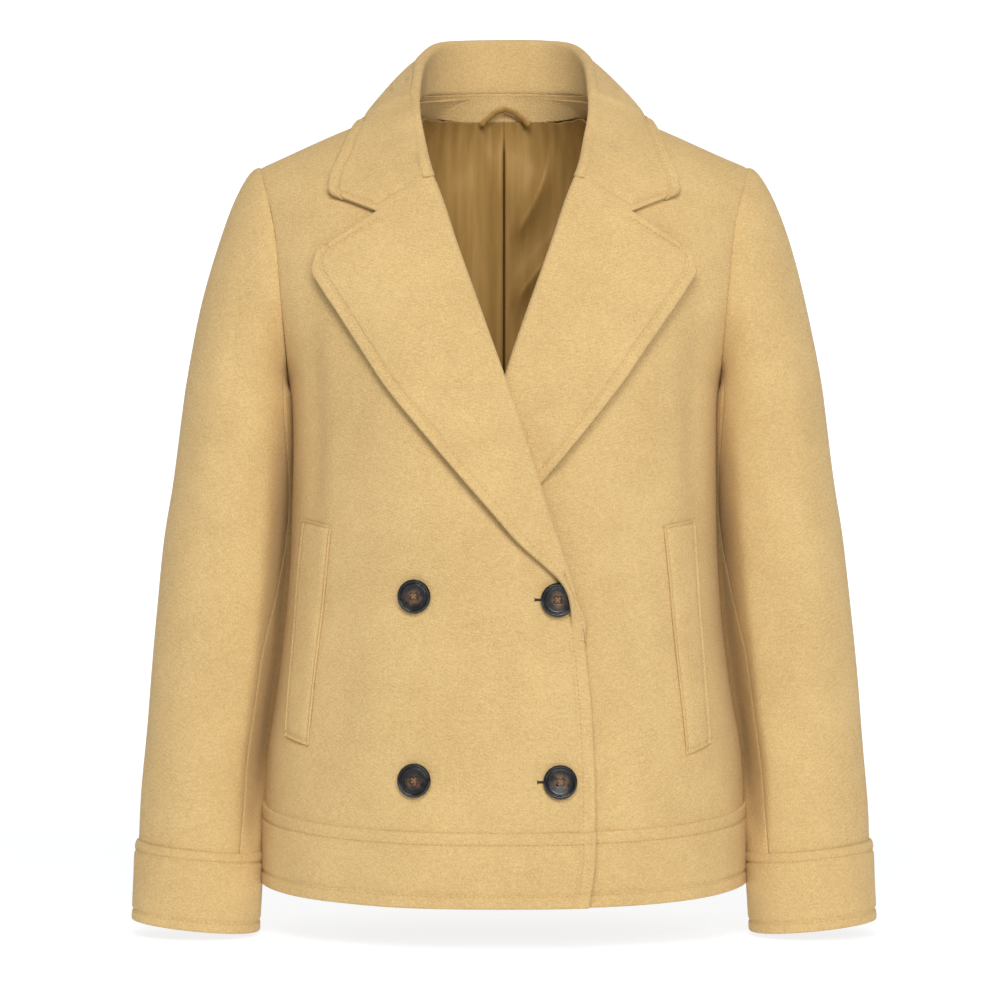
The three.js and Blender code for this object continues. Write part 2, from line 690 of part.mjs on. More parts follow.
// The cap runs from the armhole to the first ring as a cubic that leaves the seam sideways
function capPoint(angle, t) {
  const start = armholePoint(angle);
  start.x += ARMHOLE_SEAM;
  const end = ringPoint(SLEEVE, SLEEVE[0].z, angle);
  const high = (1 + Math.cos(angle)) / 2;
  const pullOut = lerp(6, 68, high ** 0.8);
  const leave = new THREE.Vector3(pullOut, 0, lerp(-14, 6, high));
  leave.y = -Math.sin(angle) * 10;
  const arrive = new THREE.Vector3(lerp(1, 24, high), 0, -lerp(12, 190, high ** 1.3));
  const h = [2 * t ** 3 - 3 * t ** 2 + 1, t ** 3 - 2 * t ** 2 + t, 3 * t ** 2 - 2 * t ** 3, t ** 3 - t ** 2];
  return start
    .multiplyScalar(h[0])
    .addScaledVector(leave, h[1])
    .addScaledVector(end, h[2])
    .addScaledVector(arrive, h[3]);
}

const mirrorTo = (front) => (p) => new THREE.Vector3(front.sign * p.x, p.y, p.z);

function sleevePiece(front, name, fromDegrees, toDegrees, columns) {
  const capRows = 6;
  const armRows = 9;
  const lowZ = SLEEVE[SLEEVE.length - 1].z;
  const from = THREE.MathUtils.degToRad(fromDegrees + SLEEVE_SEAM_HALF_GAP);
  const to = THREE.MathUtils.degToRad(toDegrees - SLEEVE_SEAM_HALF_GAP);
  // One column past each seam, so that both pieces have the same normals there
  const wide = Array.from({ length: capRows + armRows + 1 }, (_, r) =>
    Array.from({ length: columns + 3 }, (_, c) => {
      const angle = lerp(from, to, (c - 1) / columns);
      const z = lerp(SLEEVE[0].z, lowZ, (r - capRows) / armRows);
      return r <= capRows ? capPoint(angle, r / capRows) : ringPoint(SLEEVE, z, angle);
    }),
  );
  const axis = (z) => new THREE.Vector3(lerp(200, 243, clamp01((-100 - z) / 470)), lerp(0, -17, clamp01(-z / 570)), z);
  const normals = gridNormals(wide, (p) => p.clone().sub(axis(p.z - 25)));
  const outer = wide.map((row) => row.slice(1, -1));
  const inner = outer.map((row, r) => row.map((p, c) => p.clone().addScaledVector(normals[r][c + 1], -WALL)));
  const place = (grid) => grid.map((row) => row.map(mirrorTo(front)));
  addPiece(`sleeve_${name}_${front.name}`, closedWall(place(outer), place(inner)), woolMaterial());
}

function cuff(front) {
  const columns = 28;
  const levels = [0, 0.07, 0.5, 1];
  const ring = (z) =>
    Array.from({ length: columns }, (_, c) => ringPoint(CUFF, z, (c / columns) * Math.PI * 2));
  const outer = levels.map((share) => ring(lerp(CUFF[0].z, CUFF[CUFF.length - 1].z, share)));
  const centre = new THREE.Vector3(245, -19, 0);
  const normals = gridNormals(outer, (p) => new THREE.Vector3(p.x - centre.x, p.y - centre.y, 0), true);
  const inner = outer.map((row, r) => row.map((p, c) => p.clone().addScaledVector(normals[r][c], -CUFF_WALL)));
  const place = (grid) => grid.map((row) => row.map(mirrorTo(front)));
  addPiece(`cuff_${front.name}`, closedWall(place(outer), place(inner), true), woolMaterial());
}

function button(front, { name, x, z }) {
  const { radius, height, rim, dish } = BUTTON;
  const profile = [
    [0, 0],
    [radius - 2.4, 0],
    [radius - 0.4, 1.3],
    [radius, 2.5],
    [radius - 0.9, height - 0.5],
    [radius - rim * 0.6, height],
    [radius - rim - 0.6, height - 0.7],
    [radius - rim - 2, height - dish],
    [0, height - dish - 0.3],
  ].map(([r, h]) => new THREE.Vector2(r, h));
  const mesh = addPiece(name, new THREE.LatheGeometry(profile, 18), hornMaterial());
  const seat = onFront(front, x, z, 0);
  const normal = bodyNormal(onBody(front.sign * x, z, -1));
  mesh.position.copy(seat.addScaledVector(normal, SEAM + 0.1));
  mesh.quaternion.setFromUnitVectors(new THREE.Vector3(0, 1, 0), normal);
}

const FRONTS = [
  { name: "right", sign: -1, lapsOver: true },
  { name: "left", sign: 1, lapsOver: false },
];

backPanel();
backBand();
neckFacing();
backLining();
hangerLoop();
collar();
for (const front of FRONTS) {
  frontPanel(front);
  frontBand(front);
  lapel(front);
  welt(front);
  sleevePiece(front, "top", BACK_SLEEVE_SEAM - 360, FRONT_SLEEVE_SEAM, 16);
  sleevePiece(front, "under", FRONT_SLEEVE_SEAM, BACK_SLEEVE_SEAM, 7);
  cuff(front);
}
for (const place of BUTTONS) button(FRONTS[0], place);

export default coat;
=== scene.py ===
"""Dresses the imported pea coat: brushed wool shells, satin lining, horn buttons and topstitching."""
from __future__ import annotations

import logging
import math
from dataclasses import dataclass, field
from enum import Enum
from typing import Callable, Sequence

import bmesh
import bpy
import mathutils
import numpy as np
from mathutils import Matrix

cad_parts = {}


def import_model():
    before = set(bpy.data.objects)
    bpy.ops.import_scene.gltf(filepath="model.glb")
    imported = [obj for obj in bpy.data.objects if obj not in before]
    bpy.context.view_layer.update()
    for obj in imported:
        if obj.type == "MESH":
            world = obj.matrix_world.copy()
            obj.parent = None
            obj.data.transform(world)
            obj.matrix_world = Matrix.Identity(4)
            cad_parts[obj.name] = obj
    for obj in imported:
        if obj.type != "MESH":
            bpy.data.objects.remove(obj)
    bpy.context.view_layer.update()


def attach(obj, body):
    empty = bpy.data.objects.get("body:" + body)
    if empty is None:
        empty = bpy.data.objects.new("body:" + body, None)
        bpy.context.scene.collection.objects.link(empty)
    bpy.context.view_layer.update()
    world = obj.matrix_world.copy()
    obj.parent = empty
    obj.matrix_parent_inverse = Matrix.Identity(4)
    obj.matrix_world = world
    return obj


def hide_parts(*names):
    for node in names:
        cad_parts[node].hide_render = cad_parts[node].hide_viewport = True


LOG = logging.getLogger("pea_coat")
MM = 0.001
BODY = "root"
Grid = np.ndarray

# Walls of cloth in mm: plain, folded at the front edge, and of a lapel's leaf in the open and tucked under.
WALL = 2.5
EDGE_WALL = 5.0
LEAF = 4.2
TUCKED_LEAF = 3.0
# Gaps in mm: between front and back at a seam, and between a leaf and what it lies on.
SEAM = 0.4
REST = 0.8
# Distances from a seam, in mm, at which a grid has extra rows or columns.
CLOSE = (0.3, 0.7, 1.1, 1.6, 2.4, 3.6)


def smooth(v: Grid | float) -> Grid:
    """Smoothstep: 3t^2 - 2t^3 of v clamped to 0..1."""
    t = np.clip(v, 0.0, 1.0)
    return t * t * (3.0 - 2.0 * t)


def mix(a: Grid | float, b: Grid | float, t: Grid | float) -> Grid:
    """Straight blend from a at t = 0 to b at t = 1."""
    return a + (b - a) * t


def unit(v: Grid) -> Grid:
    """Vectors of the last axis, scaled to length 1."""
    return v / np.maximum(np.linalg.norm(v, axis=-1, keepdims=True), 1e-9)


def hermite(a: Grid, b: Grid, da: Grid, db: Grid, t: Grid) -> Grid:
    """Cubic with ends a, b and end slopes da, db."""
    return ((2 * t**3 - 3 * t**2 + 1) * a + (t**3 - 2 * t**2 + t) * da
            + (3 * t**2 - 2 * t**3) * b + (t**3 - t**2) * db)


class Profile:
    """One measure of the coat as a smooth function of height."""

    def __init__(self, rows: Sequence[tuple[float, float]]) -> None:
        """Keeps the rows in order of height, with the slope at each.

        Args:
            rows: pairs of height and value, in any order.
        """
        table = np.array(sorted(rows), float)
        self.z, self.v = table[:, 0], table[:, 1]
        low = np.maximum(np.arange(len(table)) - 1, 0)
        high = np.minimum(np.arange(len(table)) + 1, len(table) - 1)
        self.slope = (self.v[high] - self.v[low]) / (self.z[high] - self.z[low])

    def __call__(self, z: Grid | float) -> Grid:
        """Cubic between the rows, level beyond both ends.

        Args:
            z: heights in mm.

        Returns:
            The value at each height.
        """
        z = np.clip(np.asarray(z, float), self.z[0], self.z[-1])
        i = np.clip(np.searchsorted(self.z, z, side="right") - 1, 0, len(self.z) - 2)
        span = self.z[i + 1] - self.z[i]
        t = (z - self.z[i]) / span
        return hermite(self.v[i], self.v[i + 1], span * self.slope[i], span * self.slope[i + 1], t)


def columns(rows: Sequence[Sequence[float]], key: int) -> Profile:
    """Profile of one column of a table whose first column is the height."""
    return Profile([(row[0], row[key]) for row in rows])


def centripetal(points: Grid, t: Grid) -> Grid:
    """Centripetal Catmull-Rom curve through points, with the parameter spread evenly over the rows.

    Args:
        points: the rows to pass through, (n, k).
        t: places along the curve from 0 to 1, (m,).

    Returns:
        Points of the curve, (m, k).
    """
    n = len(points)
    p = np.vstack([2 * points[:1] - points[1:2], points, 2 * points[-1:] - points[-2:-1]])
    s = np.clip(t, 0, 1) * (n - 1)
    i = np.minimum(s.astype(int), n - 2)
    w = (s - i)[:, None]
    p0, p1, p2, p3 = p[i], p[i + 1], p[i + 2], p[i + 3]
    d0, d1, d2 = (np.maximum(np.linalg.norm(b - a, axis=1, keepdims=True) ** 0.5, 1e-4)
                  for a, b in ((p0, p1), (p1, p2), (p2, p3)))
    t1 = ((p1 - p0) / d0 - (p2 - p0) / (d0 + d1) + (p2 - p1) / d1) * d1
    t2 = ((p2 - p1) / d1 - (p3 - p1) / (d1 + d2) + (p3 - p2) / d2) * d1
    return hermite(p1, p2, t1, t2, w)


@dataclass(frozen=True)
class Crease:
    """One soft trough (negative) or ridge (positive) along a straight run, in mm."""

    start: tuple[float, float, float]
    end: tuple[float, float, float]
    width: float
    depth: float

    def at(self, p: Grid) -> Grid:
        """Bell across the run with soft shoulders, fading to its ends: exp(-d^2) - 0.4 exp(-(d / 2.1)^2).

        Args:
            p: points, (..., 3).

        Returns:
            The offset in mm at each point.
        """
        a, b = np.array(self.start), np.array(self.end)
        along = np.clip(((p - a) @ (b - a)) / ((b - a) @ (b - a)), 0, 1)
        d = np.linalg.norm(p - a - along[..., None] * (b - a), axis=-1) / self.width
        taper = np.sin(np.pi * np.clip(along, 0.04, 0.96)) ** 0.6
        return self.depth * taper * (np.exp(-d**2) - 0.4 * np.exp(-((d / 2.1) ** 2)))


@dataclass(frozen=True)
class BodyForm:
    """The coat's outer cloth as a smooth field: a rounded section at each height, arched at the shoulder."""

    # End of the shoulder line: its x, its height, and the line's slope.
    shoulder: tuple[float, float, float] = (195.0, -32.0, 0.425)
    # Half width and height of the rise inside the neck.
    dome: tuple[float, float] = (80.0, 38.0)
    front_round: float = 120.0
    back_round: float = 100.0
    power: float = 2.5
    # Height, half width, depth in front and depth behind.
    table: tuple[tuple[float, float, float, float], ...] = (
        (25, 235, 71, 89), (-34, 230, 84, 96), (-75, 215, 94, 101), (-100, 208, 100, 103),
        (-130, 200, 106, 104), (-160, 189, 111, 104), (-185, 179, 114, 103), (-205, 172, 116, 102),
        (-250, 169, 116, 101), (-310, 169.5, 116, 100), (-390, 173.5, 114, 98), (-450, 181, 116, 101),
        (-498, 188.5, 118, 104), (-540, 191.8, 121, 106), (-620, 194, 124, 110))

    def half(self, z: Grid) -> Grid:
        """Half width at a height."""
        return columns(self.table, 1)(z)

    def depth(self, z: Grid, side: Grid | float) -> Grid:
        """Depth of the front (side -1) or the back (side 1) at a height."""
        return np.where(np.asarray(side) > 0, columns(self.table, 3)(z), columns(self.table, 2)(z))

    def ridge(self, x: Grid) -> Grid:
        """Height of the shoulder line: a straight slope, with a parabola added inside the neck.

        Args:
            x: distance from the centre line.

        Returns:
            The height in mm.
        """
        ax = np.abs(x)
        bump = self.dome[1] * np.maximum(0, 1 - (ax / self.dome[0]) ** 2)
        return self.shoulder[1] + self.shoulder[2] * (self.shoulder[0] - ax) + bump

    def side_full(self, x: Grid, z: Grid) -> Grid:
        """1 on the centre line and 0 at the side seam."""
        return 1 - np.abs(x / self.half(z)) ** self.power

    def top_full(self, x: Grid, z: Grid, side: Grid | float) -> Grid:
        """0 on the shoulder line and 1 where the chest or back is full."""
        drop = (self.ridge(x) - z) / np.where(np.asarray(side) > 0, self.back_round, self.front_round)
        return np.where(drop >= 1, 1.0, 1 - (1 - drop) ** 2)

    def surface(self, x: Grid, z: Grid, side: Grid | float) -> Grid:
        """Outer cloth: y is the depth times the root of both fullnesses.

        Args:
            x: distance from the centre line.
            z: height.
            side: -1 for the front and 1 for the back.

        Returns:
            Points, (..., 3).
        """
        x, z = np.broadcast_arrays(np.asarray(x, float), np.asarray(z, float))
        full = np.maximum(0, self.side_full(x, z)) * np.maximum(0, self.top_full(x, z, side))
        return np.stack([x, side * self.depth(z, side) * np.sqrt(full), z], axis=-1)

    def value(self, p: Grid) -> Grid:
        """The field: (y / depth)^2 less the product of both fullnesses.

        Args:
            p: points, (..., 3).

        Returns:
            Zero on the cloth and positive outside it.
        """
        x, y, z = p[..., 0], p[..., 1], p[..., 2]
        side = np.where(y > 0, 1.0, -1.0)
        return (y / self.depth(z, side)) ** 2 - self.side_full(x, z) * self.top_full(x, z, side)

    def gradient(self, p: Grid) -> Grid:
        """Central differences of the field over 0.8 mm."""
        steps = np.eye(3) * 0.4
        return np.stack([(self.value(p + s) - self.value(p - s)) / 0.8 for s in steps], axis=-1)

    def normal(self, p: Grid) -> Grid:
        """Unit normal pointing out of the coat."""
        return unit(self.gradient(p))

    def clear(self, p: Grid, distance: Grid | float) -> Grid:
        """Moves points out along the normal, in small steps, until they stand off the cloth.

        Args:
            p: points, (..., 3).
            distance: the least distance in mm.

        Returns:
            The moved points.
        """
        for _ in range(12):
            g = self.gradient(p)
            size = np.maximum(np.linalg.norm(g, axis=-1), 1e-9)
            short = np.clip(distance - self.value(p) / size, 0, 6)
            p = p + (g / size[..., None]) * short[..., None]
        return p


@dataclass(frozen=True)
class Front:
    """One front: the wearer's side that it is on, and whether it laps over the other."""

    name: str
    sign: float
    laps_over: bool

    @property
    def side(self) -> Grid:
        """Factors that put points of the left side on this front's side."""
        return np.array([self.sign, 1, 1])


FRONTS = (Front("right", -1.0, True), Front("left", 1.0, False))


@dataclass(frozen=True)
class Pattern:
    """Where the seams and edges run on the body form. Own x points to a front's own side."""

    form: BodyForm = BodyForm()
    # Height and x of the armhole seam.
    armhole: tuple[tuple[float, float], ...] = (
        (-32, 195), (-72, 184), (-104, 178.5), (-154, 174.5), (-178, 173), (-205, 172))
    # Height and own x of a front's cut edge.
    edge: tuple[tuple[float, float], ...] = (
        (25, 72), (-3, 74), (-22, 72), (-38, 66), (-49, 55.5), (-106, 35.5), (-201, 2), (-246, -14),
        (-281, -24.5), (-325, -38.5), (-361, -50.5), (-381, -56.5), (-403, -60.5), (-462, -66.5), (-555, -69),
        (-620, -61))
    # Half width of the back neckline, its height at the side, and its rise in the middle.
    back_neck: tuple[float, float, float] = (72.0, 25.0, 10.0)
    nose: float = 3.8
    # Lift of the upper front: its height, own x where it is full and none, z where it is none and full.
    lift: tuple[float, float, float, float, float] = (7.2, 70.0, 130.0, -110.0, -190.0)
    seam_z: float = -538.0
    hem_z: float = -600.0
    seam_dip: float = 14.0
    hem_dip: float = 9.5

    def cut(self, z: Grid) -> Grid:
        """Own x of a front's cut edge: neckline, roll line, then front edge."""
        return Profile(self.edge)(z) + self.nose * smooth((z + 396) / 20) * smooth((8 - z) / 50)

    def side(self, z: Grid) -> Grid:
        """x of the armhole seam, and of the side seam under it."""
        low = self.armhole[-1][0]
        return np.where(z > low, Profile(self.armhole)(z), self.form.half(z))

    def seam(self, x: Grid, side: float) -> Grid:
        """Height of the seam over the hem band, lower in front."""
        full = np.sqrt(np.maximum(0, self.form.side_full(x, np.full_like(x, self.seam_z))))
        return self.seam_z - (self.seam_dip * full if side < 0 else 0 * full)

    def hem(self, x: Grid, side: float) -> Grid:
        """Height of the hem, lower in front."""
        full = np.sqrt(np.maximum(0, self.form.side_full(x, np.full_like(x, self.hem_z))))
        return self.hem_z - (self.hem_dip * full if side < 0 else 0 * full)

    def back_top(self, x: Grid) -> Grid:
        """Height of the back's top edge: back neckline, then shoulder seam.

        Args:
            x: distance from the centre line.

        Returns:
            The height in mm.
        """
        half, side_z, rise = self.back_neck
        neck = side_z + rise * np.clip(1 - (x / half) ** 2, 0, 1) ** 0.7
        ridge = self.form.ridge(x)
        return np.where(np.abs(x) < half, np.minimum(neck, ridge), ridge)

    def front_lift(self, own: Grid, z: Grid, laps_over: bool) -> Grid:
        """How far a front stands off the form, growing to full over the overlap.

        Args:
            own: x towards the front's own side.
            z: height.
            laps_over: whether this front is the upper one.

        Returns:
            The lift in mm, 0 for the lower front.
        """
        height, full_x, none_x, none_z, full_z = self.lift
        across = smooth((none_x - own) / (none_x - full_x))
        down = smooth((none_z - z) / (none_z - full_z))
        return height * across * down * float(laps_over)

    def on_front(self, front: Front, own: Grid, z: Grid, height: Grid | float) -> Grid:
        """Points over a front's outer face, along the form's normal.

        Args:
            front: which front.
            own: x towards its own side.
            z: height.
            height: distance over the face.

        Returns:
            Points, (..., 3).
        """
        p = self.form.surface(front.sign * own, z, -1.0)
        n = self.form.normal(p)
        p = p - np.array([0, SEAM / 2, 0])
        return p + n * (self.front_lift(own, z, front.laps_over) + height)[..., None]

    def on_back(self, x: Grid, z: Grid, height: Grid | float) -> Grid:
        """Points over the back's outer face, along the form's normal.

        Args:
            x: distance from the centre line.
            z: height.
            height: distance over the face.

        Returns:
            Points, (..., 3).
        """
        p = self.form.surface(x, z, 1.0)
        n = self.form.normal(p)
        return p + np.array([0, SEAM / 2, 0]) + n * (height + 0 * z)[..., None]


def near_ends(count: int, length: float, first: Sequence[float] = (), last: Sequence[float] = ()) -> Grid:
    """Shares of a length, even but for extra ones close to each end.

    Args:
        count: number of even steps.
        length: the whole length in mm.
        first: distances of extra ones from the first end.
        last: distances of extra ones from the last end.

    Returns:
        Shares from 0 to 1.
    """
    even = np.linspace(0, 1, count + 1)
    extra = [d / length for d in first] + [1 - d / length for d in last]
    shares = np.unique(np.round(np.concatenate([even, extra]), 5))
    keep = np.concatenate([[True], np.diff(shares) > 0.15 / length])
    return shares[keep]


def run_lengths(grid: Grid, axis: int) -> tuple[Grid, Grid]:
    """Distances along one axis of a grid of points, summed from step to step.

    Args:
        grid: points, (rows, columns, 3) or (rows, k).
        axis: 0 down and 1 across.

    Returns:
        Distances from the first end, and from the last end.
    """
    steps = np.linalg.norm(np.diff(grid, axis=axis), axis=-1)
    zero = np.zeros_like(np.take(steps, [0], axis=axis))
    from_first = np.concatenate([zero, np.cumsum(steps, axis=axis)], axis=axis)
    total = np.take(from_first, [-1], axis=axis)
    return from_first, total - from_first


def grid_normals(grid: Grid, hint: Grid, wrap: bool = False) -> Grid:
    """Unit normals of a grid: the cross product of its central differences.

    Args:
        grid: points, (rows, columns, 3).
        hint: vectors on the side that the normals should point to.
        wrap: whether the grid closes on itself across.

    Returns:
        Normals, (rows, columns, 3).
    """
    if wrap:
        across = np.roll(grid, -1, axis=1) - np.roll(grid, 1, axis=1)
    else:
        across = np.gradient(grid, axis=1)
    normals = unit(np.cross(across, np.gradient(grid, axis=0)))
    return np.where((normals * hint).sum(-1, keepdims=True) < 0, -normals, normals)


def rim(distance: Grid, radius: float) -> Grid:
    """Drop of a quarter-round edge: radius - sqrt(radius^2 - (radius - distance)^2)."""
    inside = np.clip(radius - distance, 0, radius)
    return radius - np.sqrt(np.maximum(0, radius**2 - inside**2))


def trough(distance: Grid, place: float, width: float = 1.5, depth: float = 1.15) -> Grid:
    """Drop of the soft channel that a row of stitches pulls into the cloth."""
    return depth * np.exp(-(((distance - place) / width) ** 2))


def flat_cut(grid: Grid) -> tuple[tuple[float, float], float]:
    """Size of the flat cut of a piece of cloth, measured along it.

    Args:
        grid: points of its outer face in mm.

    Returns:
        Its greatest width and length in metres, and the sum of its facets' areas.
    """
    width, length = (float(run_lengths(grid, axis)[0].max()) * MM for axis in (1, 0))
    one, other = grid[1:, 1:] - grid[:-1, :-1], grid[1:, :-1] - grid[:-1, 1:]
    area = float(np.linalg.norm(np.cross(one, other), axis=-1).sum()) / 2 * MM * MM
    return (width, length), min(area, width * length)


class Edge(Enum):
    """How an edge of a piece is finished."""

    SEAM = "seam"
    FOLDED = "folded"


@dataclass(frozen=True)
class Finish:
    """Edge radius and stitch line of one edge of a grid, in mm."""

    kind: Edge = Edge.SEAM
    stitch: float = 0.0

    def drop(self, distance: Grid, thick: float = WALL) -> Grid:
        """Drop of the outer face near this edge: its rim, the pull of a seam, and the stitches' channel.

        Args:
            distance: distance from the edge.
            thick: thickness of the wall that is folded.

        Returns:
            The drop at each point.
        """
        if self.kind is Edge.SEAM:
            drop = rim(distance, 0.8) + 0.5 * np.exp(-((distance / 2.4) ** 2))
        else:
            drop = rim(distance, thick * 0.5)
        return drop + trough(distance, self.stitch) if self.stitch else drop


@dataclass
class Shell:
    """A wall of cloth between an outer and an inner grid of points (rows, columns, 3), in mm."""

    outer: Grid
    inner: Grid
    wrap: bool = False

    def faces(self) -> Grid:
        """Quads of both faces and of the walls that close them.

        Returns:
            Point numbers, (m, 4).
        """
        rows, cols = self.outer.shape[:2]
        ids = np.arange(rows * cols).reshape(rows, cols)
        if self.wrap:
            ids = np.concatenate([ids, ids[:, :1]], axis=1)
        back = ids + rows * cols
        quads = [
            np.stack([ids[:-1, :-1], ids[:-1, 1:], ids[1:, 1:], ids[1:, :-1]], -1).reshape(-1, 4),
            np.stack([back[:-1, :-1], back[1:, :-1], back[1:, 1:], back[:-1, 1:]], -1).reshape(-1, 4),
            np.stack([ids[0, :-1], back[0, :-1], back[0, 1:], ids[0, 1:]], -1),
            np.stack([ids[-1, :-1], ids[-1, 1:], back[-1, 1:], back[-1, :-1]], -1)]
        if not self.wrap:
            quads += [
                np.stack([ids[:-1, 0], ids[1:, 0], back[1:, 0], back[:-1, 0]], -1),
                np.stack([ids[:-1, -1], back[:-1, -1], back[1:, -1], ids[1:, -1]], -1)]
        return np.concatenate(quads)

    def build(self, name: str, material: bpy.types.Material) -> bpy.types.Object:
        """Makes the mesh in metres, turned outwards, with a UV map in metres along the cloth.

        Args:
            name: the object's name.
            material: its cloth.

        Returns:
            The object.
        """
        points = np.concatenate([self.outer.reshape(-1, 3), self.inner.reshape(-1, 3)])
        faces = self.faces()
        a, b, c = (points[faces[:, k]] for k in (0, 1, 2))
        d = points[faces[:, 3]]
        volume = (a * (np.cross(b, c) + np.cross(c, d))).sum()
        if volume < 0:
            faces = faces[:, ::-1]
        across, _ = run_lengths(self.outer, 1)
        down, _ = run_lengths(self.outer, 0)
        flat = np.stack([across, down], -1).reshape(-1, 2) * MM
        return make_object(name, points * MM, faces, material, np.concatenate([flat, flat]))


def make_object(name: str, points: Grid, faces: Grid, material: bpy.types.Material,
                uv: Grid | None = None) -> bpy.types.Object:
    """Smooth-shaded mesh object from arrays.

    Args:
        name: the object's name.
        points: corners in metres, (n, 3).
        faces: corner numbers, (m, k).
        material: its material.
        uv: UV place of each point, (n, 2), if it has one.

    Returns:
        The object.
    """
    mesh = bpy.data.meshes.new(name)
    mesh.from_pydata(points.tolist(), [], faces.tolist())
    mesh.polygons.foreach_set("use_smooth", np.ones(len(mesh.polygons), bool))
    if uv is not None:
        layer = mesh.uv_layers.new(name="cloth")
        corners = np.empty(len(mesh.loops), np.int32)
        mesh.loops.foreach_get("vertex_index", corners)
        layer.data.foreach_set("uv", uv[corners].astype(np.float32).ravel())
    mesh.materials.append(material)
    mesh.validate()
    mesh.update()
    piece = bpy.data.objects.new(name, mesh)
    bpy.context.collection.objects.link(piece)
    return piece


@dataclass
class Stitching:
    """Rows of thread, each stitch a short tapered bead that dips into the cloth at both ends."""

    pitch: float = 3.7
    length: float = 2.7
    radius: float = 0.33
    spots: list[tuple[Grid, Grid, Grid]] = field(default_factory=list)

    def add(self, path: Grid, normals: Grid) -> None:
        """Adds one row of stitches, evenly spaced along a path.

        Args:
            path: points in mm, (n, 3).
            normals: the surface's normals at them.
        """
        if len(path) < 4:
            return
        s, _ = run_lengths(path, 0)
        middles = np.arange(self.pitch / 2, s[-1] - self.pitch / 2, self.pitch)
        at, ahead, up = (np.stack([np.interp(where, s, source[:, k]) for k in range(3)], -1)
                         for where, source in ((middles, path), (middles + 0.6, path), (middles, normals)))
        self.spots.append((at, unit(ahead - at), unit(up)))

    def add_ones(self, centres: Grid, directions: Grid, normals: Grid) -> None:
        """Adds single stitches at centres (n, 3), along directions, on surfaces with these normals."""
        self.spots.append((centres, unit(directions), unit(normals)))

    def build(self, name: str, material: bpy.types.Material) -> bpy.types.Object | None:
        """Joins all stitches into one mesh: a ring of 6 points at 5 places along each, on a parabola that
        dips.

        Args:
            name: the object's name.
            material: the thread.

        Returns:
            The object, or None if there are no stitches.
        """
        if not self.spots:
            return None
        c, t, n = (np.concatenate([spot[k] for spot in self.spots]) for k in range(3))
        b = unit(np.cross(t, n))
        along = np.array([-1.0, -0.75, 0.0, 0.75, 1.0])
        swell = np.array([0.35, 0.85, 1.0, 0.85, 0.35])
        dip = -0.42 * along**2 + 0.12
        angle = np.arange(6) * math.tau / 6
        ring = (np.cos(angle)[:, None, None, None] * b + np.sin(angle)[:, None, None, None] * n * 0.8)
        spine = (c + along[:, None, None] * t * self.length / 2 + dip[:, None, None] * n)
        points = spine[:, None] + ring[:, 0][None] * (self.radius * swell)[:, None, None, None]
        points = points.transpose(2, 0, 1, 3)
        count = len(c)
        local = np.arange(30).reshape(5, 6)
        nxt = np.roll(local, -1, axis=1)
        quads = np.stack([local[:-1], nxt[:-1], nxt[1:], local[1:]], -1).reshape(-1, 4)
        ends = np.array([[0, 5, 4, 3], [0, 3, 2, 1], [24, 25, 26, 27], [24, 27, 28, 29]])
        quads = np.concatenate([quads, ends])
        faces = (quads[None] + (np.arange(count) * 30)[:, None, None]).reshape(-1, 4)
        ring, next_ring = points[0, 1:3]
        outward = np.cross(ring[1] - ring[0], next_ring[0] - ring[0]) @ (ring[0] - ring.mean(0))
        if outward < 0:
            faces = faces[:, ::-1]
        return make_object(name, points.reshape(-1, 3) * MM, faces, material)


def inset_path(outer: Grid, normals: Grid, axis: int, last: bool, inset: float,
               margin: tuple[float, float] = (0.0, 0.0)) -> tuple[Grid, Grid]:
    """Path on a surface at a distance inside one of its edges.

    Args:
        outer: points of the face.
        normals: their normals.
        axis: axis of the distance, 1 across and 0 down.
        last: whether it is measured from the last end.
        inset: the distance in mm.
        margin: what is left off at the path's own two ends.

    Returns:
        The path's points and normals.
    """
    if axis == 0:
        outer, normals = outer.transpose(1, 0, 2), normals.transpose(1, 0, 2)
    if last:
        outer, normals = outer[:, ::-1], normals[:, ::-1]
    lengths, _ = run_lengths(outer, 1)
    row = np.flatnonzero(lengths[:, -1] > inset * 1.6)
    column = np.minimum((lengths[row] <= inset).sum(1) - 1, lengths.shape[1] - 2)
    before, after = lengths[row, column], lengths[row, column + 1]
    share = ((inset - before) / (after - before))[:, None]
    path, ups = (mix(values[row, column], values[row, column + 1], share) for values in (outer, normals))
    if len(path) < 4:
        return path, ups
    ahead, behind = run_lengths(path, 0)
    keep = (ahead >= margin[0]) & (behind >= margin[1])
    return path[keep], ups[keep]


class Sock:
    """A shader value that adds Math nodes when it is used in an expression."""

    def __init__(self, shader: "Shader", out: bpy.types.NodeSocket) -> None:
        """Keeps the shader that owns the node, and the node's output."""
        self.shader, self.out = shader, out

    def _math(self, operation: str, a: object, b: object) -> "Sock":
        """One Math node. Returns its value."""
        return self.shader.node("ShaderNodeMath", {"operation": operation}, {0: a, 1: b})

    def __add__(self, other: object) -> "Sock":
        """Sum."""
        return self._math("ADD", self, other)

    __radd__ = __add__

    def __mul__(self, other: object) -> "Sock":
        """Product."""
        return self._math("MULTIPLY", self, other)

    __rmul__ = __mul__

    def __sub__(self, other: object) -> "Sock":
        """Difference."""
        return self._math("SUBTRACT", self, other)

    def __rsub__(self, other: object) -> "Sock":
        """Difference the other way round."""
        return self._math("SUBTRACT", other, self)

    def window(self, low: float, high: float) -> "Sock":
        """0 below low, 1 above high, smooth between."""
        return self.shader.node("ShaderNodeMapRange", {"interpolation_type": "SMOOTHSTEP"},
                                {"Value": self, "From Min": low, "From Max": high})


